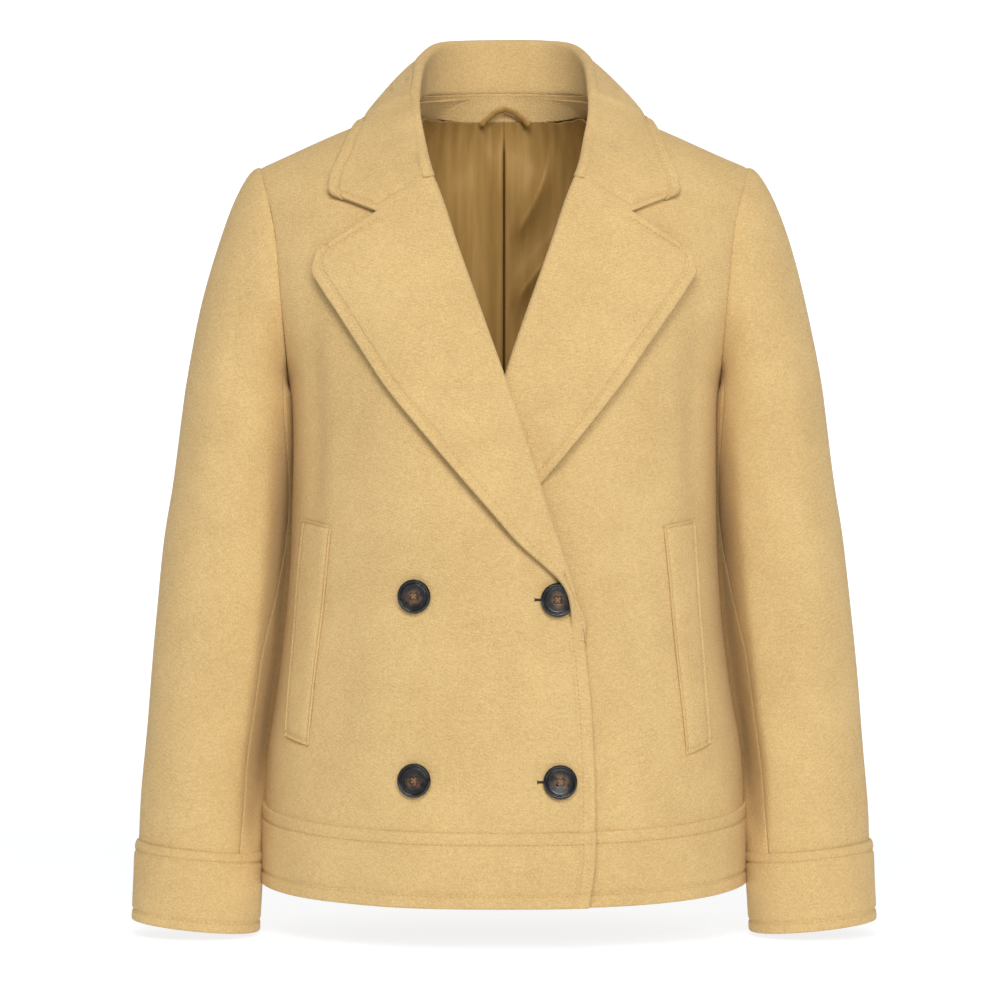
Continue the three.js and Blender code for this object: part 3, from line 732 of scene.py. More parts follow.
class Shader:
    """Node tree of one material."""

    def __init__(self, name: str) -> None:
        """Starts a material with one Principled shader.

        Args:
            name: the material's name.
        """
        self.material = bpy.data.materials.new(name)
        self.material.use_nodes = True
        self.tree = self.material.node_tree
        self.surface = self.tree.nodes["Principled BSDF"]
        self.place = self.node("ShaderNodeTexCoord", {}, {}, "Object")

    def node(self, kind: str, settings: dict, inputs: dict, output: str | int = 0) -> Sock:
        """Adds any node: its settings first, then the values or links of its sockets.

        Args:
            kind: the node's type.
            settings: its properties.
            inputs: values or sockets by input name or number.
            output: name or number of the output.

        Returns:
            That output.
        """
        made = self.tree.nodes.new(kind)
        for key, value in settings.items():
            setattr(made, key, value)
        for key, value in inputs.items():
            if isinstance(value, Sock):
                self.tree.links.new(value.out, made.inputs[key])
            else:
                made.inputs[key].default_value = value
        return Sock(self, made.outputs[output])

    def noise(self, scale: float, detail: float, rough: float,
              stretch: tuple[float, float, float] = (1, 1, 1), turn: float = 0.0) -> Sock:
        """Noise in the object's own space.

        Args:
            scale: blotches per metre.
            detail: octaves of finer noise.
            rough: strength of each octave against the last.
            stretch: factor of the frequency along each axis.
            turn: turn about Y in radians.

        Returns:
            The noise, about 0 to 1.
        """
        place = self.node("ShaderNodeMapping", {}, {
            "Vector": self.place, "Rotation": (0.0, turn, 0.0), "Scale": stretch})
        return self.node("ShaderNodeTexNoise", {}, {
            "Vector": place, "Scale": scale, "Detail": detail, "Roughness": rough})

    def blend(self, low: tuple, high: tuple, factor: Sock) -> Sock:
        """Colour mix of two colours or sockets."""
        return self.node("ShaderNodeMix", {"data_type": "RGBA"}, {0: factor, 6: low, 7: high}, 2)

    def bump(self, height: Sock, distance: float, strength: float) -> None:
        """Bump that feeds the normal.

        Args:
            height: the relief.
            distance: its depth in metres.
            strength: from 0 to 1.
        """
        normal = self.node("ShaderNodeBump", {}, {
            "Height": height, "Distance": distance, "Strength": strength})
        self.tree.links.new(normal.out, self.surface.inputs["Normal"])

    def set(self, **values: object) -> None:
        """Sets or links the Principled shader's sockets.

        Args:
            **values: value or socket by name, with underscores for spaces.
        """
        for key, value in values.items():
            socket = self.surface.inputs[key.replace("_", " ")]
            if isinstance(value, Sock):
                self.tree.links.new(value.out, socket)
            else:
                socket.default_value = value


def rgb(red: float, green: float, blue: float) -> tuple[float, float, float, float]:
    """Linear colour of three screen values.

    Args:
        red: from 0 to 255.
        green: from 0 to 255.
        blue: from 0 to 255.

    Returns:
        Colour with an alpha of 1.
    """
    def linear(v: float) -> float:
        """Inverse of the screen's tone curve."""
        c = v / 255
        return c / 12.92 if c <= 0.04045 else ((c + 0.055) / 1.055) ** 2.4
    return (linear(red), linear(green), linear(blue), 1.0)


@dataclass(frozen=True)
class WoolFinish:
    """Brushed melton: matted fibres, faint slanting grain and a soft sheen."""

    name: str = "camel_wool"
    light: tuple = rgb(230, 198, 139)
    dark: tuple = rgb(190, 156, 101)
    sheen: float = 0.22

    def build(self) -> bpy.types.Material:
        """Tone is a weighted sum of fibre, slant, strand and cloud noise, spread between two colours.

        Returns:
            The material.
        """
        s = Shader(self.name)
        fuzz = s.noise(950, 4, 0.62)
        slant = s.noise(420, 3, 0.6, (0.55, 1, 2.2), math.radians(28))
        strands = s.noise(700, 3, 0.65, (2.6, 1, 0.5), math.radians(-20))
        clouds = s.noise(16, 3, 0.5)
        cloth = s.node("ShaderNodeUVMap", {"uv_map": "cloth"}, {})
        twill = s.node("ShaderNodeTexWave", {"bands_direction": "DIAGONAL"}, {
            "Vector": cloth, "Scale": 190.0, "Distortion": 6.0, "Detail": 3.0, "Detail Scale": 2.0}, "Fac")
        patches = s.noise(45, 3, 0.6)
        tone = fuzz * 0.55 + slant * 0.37 + strands * 0.33 + clouds * 0.2 + patches * 0.12 + twill * 0.04
        base = s.blend(self.dark, self.light, tone.window(0.52, 1.1))
        s.set(Base_Color=base, Roughness=0.93, Sheen_Weight=self.sheen, Sheen_Roughness=0.45,
              Sheen_Tint=rgb(255, 236, 200), Specular_IOR_Level=0.25)
        s.bump(fuzz * 0.9 + strands * 0.7 + slant * 0.5 + twill * 0.1, 0.0012, 0.65)
        return s.material


@dataclass(frozen=True)
class SatinFinish:
    """Bronze satin: smooth, with a close weave and a broad soft gloss."""

    name: str = "bronze_satin"
    light: tuple = rgb(186, 149, 88)
    dark: tuple = rgb(146, 113, 62)

    def build(self) -> bpy.types.Material:
        """Tone follows long slubs, and a close weave gives the bump.

        Returns:
            The material.
        """
        s = Shader(self.name)
        slubs = s.noise(60, 3, 0.5, (3.0, 1, 0.25))
        weave = s.noise(1500, 2, 0.5, (1, 1, 0.4))
        s.set(Base_Color=s.blend(self.dark, self.light, slubs.window(-0.1, 1.2)),
              Roughness=slubs * 0.1 + 0.34, Specular_IOR_Level=0.4,
              Specular_Tint=rgb(255, 222, 170))
        s.bump(weave * 0.6 + slubs * 0.3, 0.0002, 0.3)
        return s.material


@dataclass(frozen=True)
class HornFinish:
    """Polished dark horn, brown and mottled in the dish."""

    name: str = "dark_horn"

    def build(self) -> bpy.types.Material:
        """Nearly black on the rim and brown in the dish, clouded in both.

        Returns:
            The material.
        """
        s = Shader(self.name)
        clouds = s.noise(190, 4, 0.6)
        dish = s.node("ShaderNodeAttribute", {"attribute_name": "dish"}, {}, "Fac")
        rim_tone = s.blend(rgb(18, 18, 20), rgb(40, 38, 40), clouds.window(0.4, 0.75))
        dish_tone = s.blend(rgb(44, 36, 32), rgb(112, 84, 60), clouds.window(0.35, 0.7))
        s.set(Base_Color=s.blend(rim_tone, dish_tone, dish), Roughness=clouds * 0.15 + 0.16,
              Specular_IOR_Level=0.55)
        s.bump(clouds, 0.0002, 0.25)
        return s.material


@dataclass(frozen=True)
class ThreadFinish:
    """Matt sewing thread with a fine twist."""

    name: str = "camel_thread"
    light: tuple = rgb(214, 176, 112)
    dark: tuple = rgb(170, 132, 78)

    def build(self) -> bpy.types.Material:
        """Tone and bump follow a fine noise, like twisted yarn.

        Returns:
            The material.
        """
        s = Shader(self.name)
        twist = s.noise(1800, 2, 0.5)
        s.set(Base_Color=s.blend(self.dark, self.light, twist.window(0.3, 0.7)), Roughness=0.75,
              Sheen_Weight=0.1)
        s.bump(twist, 0.0002, 0.4)
        return s.material


@dataclass
class Workroom:
    """What every sub-assembly needs: the pattern, the cloths and the way a piece is finished off."""

    wool: bpy.types.Material
    satin: bpy.types.Material
    horn: bpy.types.Material
    thread: bpy.types.Material
    brown_thread: bpy.types.Material
    dark_thread: bpy.types.Material
    pattern: Pattern = field(default_factory=Pattern)

    def finish_off(self, piece: bpy.types.Object, slot: str, nodes: Sequence[str] = (),
                   cloth: Grid | None = None, rests_on: Sequence[str] = ()) -> None:
        """Rides the piece on the body, hides the CAD nodes that it stands for, and measures the flat cut of
        cloth.

        Args:
            piece: the object.
            slot: its material slot; not used.
            nodes: the CAD nodes that it stands for.
            cloth: grid of its outer face in mm, if it is a sheet.
            rests_on: pieces that it lies on; not used.
        """
        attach(piece, BODY)
        if nodes:
            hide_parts(*nodes)
        if cloth is not None:
            flat, area = flat_cut(cloth)
        LOG.info("%s: %d faces", piece.name, len(piece.data.polygons))

    def wool_shell(self, node: str, outer: Grid, inner: Grid, rests_on: Sequence[str] = (),
                   wrap: bool = False, side: Grid | float = 1.0) -> None:
        """Builds the wool piece that stands for one CAD node, and finishes it off.

        Args:
            node: the CAD node's name.
            outer: grid of the outer face in mm.
            inner: grid of the inner face in mm.
            rests_on: pieces that it lies on.
            wrap: whether the grid closes on itself across.
            side: factors that put points of the left side on the piece's own side.
        """
        shell = Shell(outer * side, inner * side, wrap).build(f"shell_{node}", self.wool)
        self.finish_off(shell, "wool", [node], outer, rests_on)

    def sew(self, stitching: Stitching, name: str, slot: str = "wool",
            material: bpy.types.Material | None = None) -> None:
        """Builds and finishes off rows of stitches.

        Args:
            stitching: the rows.
            name: the object's name.
            slot: its material slot.
            material: the thread, camel if none.
        """
        piece = stitching.build(name, material or self.thread)
        if piece:
            self.finish_off(piece, slot)


def ripple(p: Grid) -> Grid:
    """Slow unevenness of hanging wool: a few long sine waves of different directions.

    Args:
        p: points, (..., 3).

    Returns:
        The offset in mm.
    """
    x, y, z = p[..., 0], p[..., 1], p[..., 2]
    return (0.55 * np.sin(x / 37 + z / 83 + 1.0) * np.sin(z / 61 + y / 90)
            + 0.35 * np.sin(x / 21 - z / 47 + 2.1) + 0.18 * np.sin(z / 17 + x / 29 + y / 13))


def body_creases(p: Grid) -> Grid:
    """Main creases of the body: under the arms, over the chest and above the band.

    Args:
        p: points, (..., 3).

    Returns:
        The offset in mm, with the slow ripple and the dip under the collar.
    """
    runs = []
    for sign in (-1, 1):
        runs += [
            Crease((sign * 150, -75, -120), (sign * 150, -62, -340), 13, -2.4),
            Crease((sign * 128, -88, -170), (sign * 134, -82, -360), 18, 1.4),
            Crease((sign * 150, 70, -110), (sign * 152, 62, -330), 14, -2.4),
            Crease((sign * 90, 98, -60), (sign * 140, 70, -240), 22, -2.0),
            Crease((sign * 110, -100, -420), (sign * 150, -70, -548), 16, -1.5),
            Crease((sign * 60, 100, -380), (sign * 100, 98, -545), 20, -1.8),
            Crease((sign * 165, 30, -420), (sign * 180, 20, -545), 16, -1.6)]
    runs += [
        Crease((-95, -108, -250), (-60, -112, -520), 24, -1.4),
        Crease((0, -115, -420), (-25, -120, -548), 18, -1.2),
        Crease((100, -105, -260), (92, -105, -500), 22, -1.5),
        Crease((79, -108, -420), (85, -110, -640), 9, -3.2),
        Crease((0, 100, -90), (6, 100, -330), 30, -1.6),
        Crease((-40, 100, -430), (-20, 104, -548), 18, -1.3)]
    under_collar = 3.0 * smooth((p[..., 2] - 4) / 14) * smooth((100 - np.abs(p[..., 0])) / 14)
    return 1.25 * sum(run.at(p) for run in runs) + 1.3 * ripple(p) - under_collar


@dataclass
class BodyPieces:
    """Fronts, back, hem bands and pocket welts."""

    room: Workroom
    front_steps: tuple[int, int] = (64, 84)
    back_steps: tuple[int, int] = (110, 84)
    band_proud: float = 1.9
    band_lap: float = 0.5
    band_stitch: float = 10.5
    edge_stitch: float = 11.5
    # Own x and height of each welt's four corners: the top pair, then the lower pair.
    welts_at: dict[str, tuple] = field(default_factory=lambda: {
        "right": ((157, -313), (132.5, -318), (171.5, -483), (152, -489)),
        "left": ((149, -313), (122.5, -318), (160, -487.5), (141, -495.5))})
    welt_lift: float = 2.1
    welt_stitch: float = 2.8
    # Heights under which a front's edge is folded, and topstitched.
    fold_starts: float = -392.0
    stitches_start: float = -404.0
    # Wall of a band's folded edges, at its seam and at the hem.
    band_folds: tuple[float, float] = (3.6, 3.5)
    # How much of a front's and of the back's length lies over the shoulder.
    round_share: tuple[float, float] = (0.2, 0.18)

    def rows(self, share: float, count: int, length: float) -> Grid:
        """Row shares from the shoulder down: a cosine over the round part, then even, close at the seam.

        Args:
            share: how much of the length is round.
            count: number of even rows.
            length: the whole length in mm.

        Returns:
            Shares from 0 to 1.
        """
        arch = share * (1 - np.cos(np.linspace(0, np.pi / 2, 26)[:-1]))
        rest = mix(share, 1.0, near_ends(count, length * (1 - share), (), CLOSE))
        return np.concatenate([arch, rest])

    def settle(self, shares: Grid, across: Grid, x_of: Callable, top_of: Callable, low_of: Callable) -> tuple:
        """Solves x and z of a panel's grid by repeated blending, because its edges are given by height.

        Args:
            shares: row shares from the top to the lower seam.
            across: column shares.
            x_of: x at a height and a column share.
            top_of: height of the top edge at x.
            low_of: height of the seam at x.

        Returns:
            Arrays of x and of z.
        """
        f, u = np.meshgrid(shares, across, indexing="ij")
        z = mix(0.0, self.room.pattern.seam_z, f)
        for _ in range(18):
            x = x_of(z, u)
            z = mix(z, mix(top_of(x), low_of(x), f), 0.7)
        return x, z

    def front(self, front: Front) -> None:
        """One front: its cut edge is folded and topstitched below the lapel's end.

        Args:
            front: which front.
        """
        pat = self.room.pattern
        shares = self.rows(self.round_share[0], self.front_steps[1], 560)
        near_edge = (0.3, 0.8, 1.5, 2.3, 3.2, 5, 7.5, 9.5, 10.5, 11.2, 12, 13, 14.5, 17)
        u = near_ends(self.front_steps[0], 360, near_edge, CLOSE)
        own, z = self.settle(shares, u, lambda h, w: mix(pat.cut(h), pat.side(h), np.sin(w * np.pi / 2)),
                             pat.form.ridge, lambda x: pat.seam(x, -1.0))
        middle = pat.on_front(front, own, z, 0.0)
        normals = grid_normals(middle, pat.form.normal(middle))
        below = smooth((self.fold_starts - z) / 14)
        wall = WALL + (EDGE_WALL - WALL) * below * smooth((18 - (own - pat.cut(z))) / 10)
        from_edge, from_side = run_lengths(middle, 1)
        from_top, _ = run_lengths(middle, 0)
        rise = body_creases(middle) * smooth((own - pat.cut(z)) / 25)
        drop = below * Finish(Edge.FOLDED, self.edge_stitch).drop(from_edge, EDGE_WALL)
        drop = drop + Finish().drop(from_side) + Finish().drop(from_top)
        outer = middle + normals * (rise - drop)[..., None]
        inner = middle + normals * (rise - wall + below * rim(from_edge, 2.4))[..., None]
        self.room.wool_shell(f"front_{front.name}", outer, inner)
        stitching = Stitching()
        path, ups = inset_path(outer, normals, 1, False, self.edge_stitch)
        low = path[:, 2] < self.stitches_start
        stitching.add(path[low], ups[low])
        self.room.sew(stitching, f"topstitch_front_{front.name}")

    def back(self) -> None:
        """The back, armhole to armhole, with its neckline."""
        pat = self.room.pattern
        shares = self.rows(self.round_share[1], self.back_steps[1], 560)
        u = near_ends(self.back_steps[0], 600, CLOSE, CLOSE)
        x, z = self.settle(shares, u, lambda h, w: pat.side(h) * np.sin((w - 0.5) * np.pi),
                           pat.back_top, lambda v: pat.seam(v, 1.0))
        middle = pat.on_back(x, z, 0.0)
        normals = grid_normals(middle, pat.form.normal(middle))
        from_top, _ = run_lengths(middle, 0)
        drop = sum(Finish().drop(d) for d in run_lengths(middle, 1) + (from_top,))
        rise = body_creases(middle)
        outer = middle + normals * (rise - drop)[..., None]
        inner = middle + normals * (rise - WALL)[..., None]
        self.room.wool_shell("back", outer, inner)

    def band_shares(self) -> Grid:
        """Row shares of a band, close at both edges and along both rows of stitches."""
        near = (0.3, 0.7, 1.2, 1.8, 2.6, 4, 8, 9.2, 10, 10.5, 11, 11.8, 13)
        return near_ends(12, 62, near, near)

    def band(self, name: str, middle: Grid, wall: Grid, front_end: bool) -> None:
        """One length of hem band, stitched along both edges and at the front end.

        Args:
            name: which length.
            middle: points of its outer face.
            wall: its thickness at each point.
            front_end: whether it starts at a front edge.
        """
        normals = grid_normals(middle, self.room.pattern.form.normal(middle))
        from_left, from_right = run_lengths(middle, 1)
        from_top, from_hem = run_lengths(middle, 0)
        hem, edge = Finish(Edge.FOLDED, self.band_stitch), Finish(Edge.FOLDED, self.edge_stitch)
        drop = hem.drop(from_top, self.band_folds[0]) + hem.drop(from_hem, self.band_folds[1])
        drop = drop + (edge.drop(from_left, EDGE_WALL) if front_end else Finish().drop(from_left))
        drop = drop + Finish().drop(from_right)
        wave = ripple(middle) * 0.8
        outer = middle + normals * (wave - drop)[..., None]
        inner = middle + normals * (wave - wall + rim(from_hem, 1.7))[..., None]
        self.room.wool_shell(f"band_{name}", outer, inner)
        stitching = Stitching()
        for last in (False, True):
            margin = (self.edge_stitch, 1.0) if front_end else (1.0, 1.0)
            stitching.add(*inset_path(outer, normals, 0, last, self.band_stitch, margin))
        if front_end:
            stitching.add(*inset_path(outer, normals, 1, False, self.edge_stitch, (0.5, self.band_stitch)))
        self.room.sew(stitching, f"topstitch_band_{name}")

    def bands(self) -> None:
        """The hem band in three lengths."""
        pat = self.room.pattern
        near_edge = (0.3, 0.8, 1.5, 2.3, 3.2, 5, 8, 9.5, 10.5, 11.2, 12, 13, 15)
        for front in FRONTS:
            across = near_ends(64, 400, near_edge, CLOSE)
            down, u = np.meshgrid(self.band_shares(), across, indexing="ij")
            rough = mix(pat.seam_z, pat.hem_z, down)
            own = mix(pat.cut(rough), pat.side(rough), np.sin(u * np.pi / 2))
            z = mix(pat.seam(own, -1.0) + self.band_lap, pat.hem(own, -1.0), down)
            wall = mix(EDGE_WALL, WALL, smooth((own - pat.cut(z) - 8) / 12)) + self.band_proud
            self.band(front.name, pat.on_front(front, own, z, self.band_proud), wall, True)
        down, u = np.meshgrid(self.band_shares(), near_ends(100, 520, CLOSE, CLOSE), indexing="ij")
        z = mix(pat.seam_z + self.band_lap, pat.hem_z, down)
        x = pat.side(z) * np.sin((u - 0.5) * np.pi)
        self.band("back", pat.on_back(x, z, self.band_proud), np.full_like(x, WALL + self.band_proud), False)

    def welts(self) -> None:
        """Slanted pocket welts: flat strips with turned edges, stitched close to the rim."""
        pat = self.room.pattern
        near = (0.3, 0.7, 1.1, 1.6, 2.2, 2.8, 3.4, 4.0)
        for front in FRONTS:
            corners = np.array(self.welts_at[front.name], float)
            down, across = np.meshgrid(near_ends(60, 172, near, near), near_ends(8, 30, near, near),
                                       indexing="ij")
            down, across = down[..., None], across[..., None]
            spot = mix(mix(corners[0], corners[1], across), mix(corners[2], corners[3], across), down)
            ground = pat.on_front(front, spot[..., 0], spot[..., 1], 0.0)
            normals = grid_normals(ground, pat.form.normal(ground))
            rise = body_creases(ground)
            edge = Finish(Edge.FOLDED, self.welt_stitch)
            drop = sum(edge.drop(d, 1.5) for d in run_lengths(ground, 1) + run_lengths(ground, 0))
            outer = ground + normals * (rise + self.welt_lift - drop)[..., None]
            inner = ground + normals * (rise + 0.15)[..., None]
            self.room.wool_shell(f"welt_{front.name}", outer, inner, [f"shell_front_{front.name}"])
            stitching = Stitching(pitch=3.2, length=2.2, radius=0.26)
            for axis in (0, 1):
                for last in (False, True):
                    stitching.add(*inset_path(outer, normals, axis, last, self.welt_stitch,
                                              (self.welt_stitch, self.welt_stitch)))
            self.room.sew(stitching, f"topstitch_welt_{front.name}")

    def build(self) -> None:
        """Makes all of them."""
        for front in FRONTS:
            self.front(front)
        self.back()
        self.bands()
        self.welts()


@dataclass
class Lapels:
    """Both lapels: the cloth leaves the front's cut edge, rolls over it and lies on the front."""

    room: Workroom
    # Height on the roll line, then own x and height on the outer edge.
    rows: tuple[tuple[float, float, float], ...] = (
        (-49, 142, -107), (-62, 145, -121), (-78, 140, -131), (-112, 123, -157), (-150, 106, -182),
        (-188, 86, -212), (-226, 63, -242), (-262, 36, -276), (-296, 11, -306), (-326, -11, -331),
        (-350, -32, -350), (-360, -40, -358), (-371, -46, -368), (-387, -49.5, -385), (-406, -50.5, -405))
    lift: float = 4.5
    # Rise of the leaf over the upper button beside it: its amount, height and half width.
    over_button: tuple[float, float, float] = (4.4, -368.0, 14.0)
    # Height at which the leaf has sunk into the front, and the length over which it does.
    sinks: tuple[float, float] = (-404.0, 24.0)
    sunk_wall: float = 1.2
    roll_seam: float = 1.6
    stitch: float = 9.0
    notch: float = 0.41
    arc: int = 12
    tip: float = 4.0

    def middle(self, front: Front) -> tuple[Grid, Grid, Grid, Grid]:
        """Middle of a lapel's cloth: each row makes a half circle over the cut edge, then runs straight to
        the outer edge.

        The leaf stands off by a parabola towards its tip, and sinks into the front at its lower end.

        Args:
            front: which front.

        Returns:
            Middle grid, thickness, normals and the length of each row.
        """
        pat = self.room.pattern
        table = np.array(self.rows, float)
        s = near_ends(96, 330, (0.3, 0.8, 1.5, 2.2, 3, 4.5, 6, 7.5, 8.4, 9, 9.6, 10.5, 12), (0.5, 1.2, 2.5))
        picked = centripetal(table, s)
        z0, x1, z1 = picked.T
        x0 = pat.cut(z0)
        length = np.hypot(x1 - x0, z1 - z0)
        length_cut = length - rim(run_lengths(np.stack([x1, z1], -1), 0)[0], self.tip)
        f = near_ends(34, 90, (0.6, 1.5), (0.3, 0.7, 1.2, 1.8, 2.4, 3.2, 5, 7.5, 8.3, 9, 9.7, 10.6, 12))
        own_dir, z_dir = (x1 - x0) / length, (z1 - z0) / length

        def open_share(own: Grid, z: Grid) -> Grid:
            """How far a point is from being tucked under the right front.

            Args:
                own: x towards the front's own side.
                z: height.

            Returns:
                0 where it is tucked under and 1 where it is open.
            """
            if front.laps_over:
                return np.ones_like(own)
            return smooth((own + Profile(pat.edge)(z) - 4) / 18)

        thick0 = mix(TUCKED_LEAF, LEAF, open_share(x0, z0))[:, None]
        sink = smooth((z0 - self.sinks[0]) / self.sinks[1])[:, None]
        low, high = -WALL / 2, mix(0.2, REST + thick0 / 2, sink)
        radius = (high - low) / 2
        angle = np.linspace(0, np.pi, self.arc + 1)[None]
        q_arc = -mix(-0.8, self.roll_seam, sink) - radius * np.sin(angle)
        h_arc = (low + high) / 2 - radius * np.cos(angle)
        w_arc = mix(WALL, mix(self.sunk_wall, thick0, sink), angle / np.pi)
        share = f[None, 1:]
        q_leaf = share * length_cut[:, None]
        own_leaf, z_leaf = x0[:, None] + own_dir[:, None] * q_leaf, z0[:, None] + z_dir[:, None] * q_leaf
        opened = open_share(own_leaf, z_leaf)
        w_leaf = mix(TUCKED_LEAF, LEAF, opened)
        reach = np.minimum(1, length / 40)[:, None]
        amount, at, half = self.over_button
        over_button = amount * np.exp(-(((z_leaf - at) / half) ** 2)) * smooth(share / 0.6)
        h_leaf = REST + w_leaf / 2 + (self.lift * share**2 * reach + over_button) * opened
        w_leaf, h_leaf = mix(self.sunk_wall, w_leaf, sink), mix(0.2 - 1.4 * share, h_leaf, sink)
        q = np.concatenate([q_arc, q_leaf], 1)
        own, z = x0[:, None] + own_dir[:, None] * q, z0[:, None] + z_dir[:, None] * q
        middle = pat.on_front(front, own, z, np.concatenate([h_arc, h_leaf], 1))
        outward = pat.form.normal(middle)
        away = np.stack([-front.sign * own_dir, 0 * own_dir, -z_dir], -1)[:, None]
        turn = np.concatenate([angle[0], np.full(share.shape[1], np.pi)])[None, :, None]
        hint = -np.cos(turn) * outward + np.sin(turn) * away
        return middle, np.concatenate([w_arc, w_leaf], 1), grid_normals(middle, hint), length

    def build(self) -> None:
        """Makes both lapels, with stitches inside the outer edge and the tip's top edge."""
        for front in FRONTS:
            middle, thick, normals, length = self.middle(front)
            from_roll, from_edge = run_lengths(middle, 1)
            from_top, from_low = run_lengths(middle, 0)
            on_leaf = smooth((from_roll - 14) / 10)
            drop = rim(from_edge, 2.0) + rim(from_top, 2.0) * on_leaf
            reach = smooth((length - 30) / 30)[:, None]
            pulled = trough(from_edge, self.stitch) * reach
            free = smooth((from_roll / (from_roll + from_edge) - self.notch) / 0.05)
            pulled = pulled + trough(from_top, self.stitch) * free * smooth((from_edge - self.stitch) / 2)
            drop = np.minimum(drop, thick / 2 - 0.1)
            rise = 0.9 * (ripple(middle) + np.sin(middle[..., 2] / 26 + 0.6) * on_leaf)
            rise = rise * smooth(from_low / 60) * smooth(from_roll / 14)
            outer = middle + normals * (thick / 2 + rise - drop - pulled)[..., None]
            inner = middle - normals * (thick / 2 - rise - drop)[..., None]
            self.room.wool_shell(f"lapel_{front.name}", outer, inner, [f"shell_front_{front.name}"])
            stitching = Stitching()
            path, ups = inset_path(outer, normals, 1, True, self.stitch, (self.stitch, 0))
            stitching.add(path, ups)
            path, ups = inset_path(outer, normals, 0, False, self.stitch)
            shares = np.linspace(0, 1, len(path))
            keep = (run_lengths(path, 0)[1] > self.stitch) & (free[0] > 0.9)[: len(path)] & (shares > 0)
            stitching.add(path[keep], ups[keep])
            self.room.sew(stitching, f"topstitch_lapel_{front.name}")


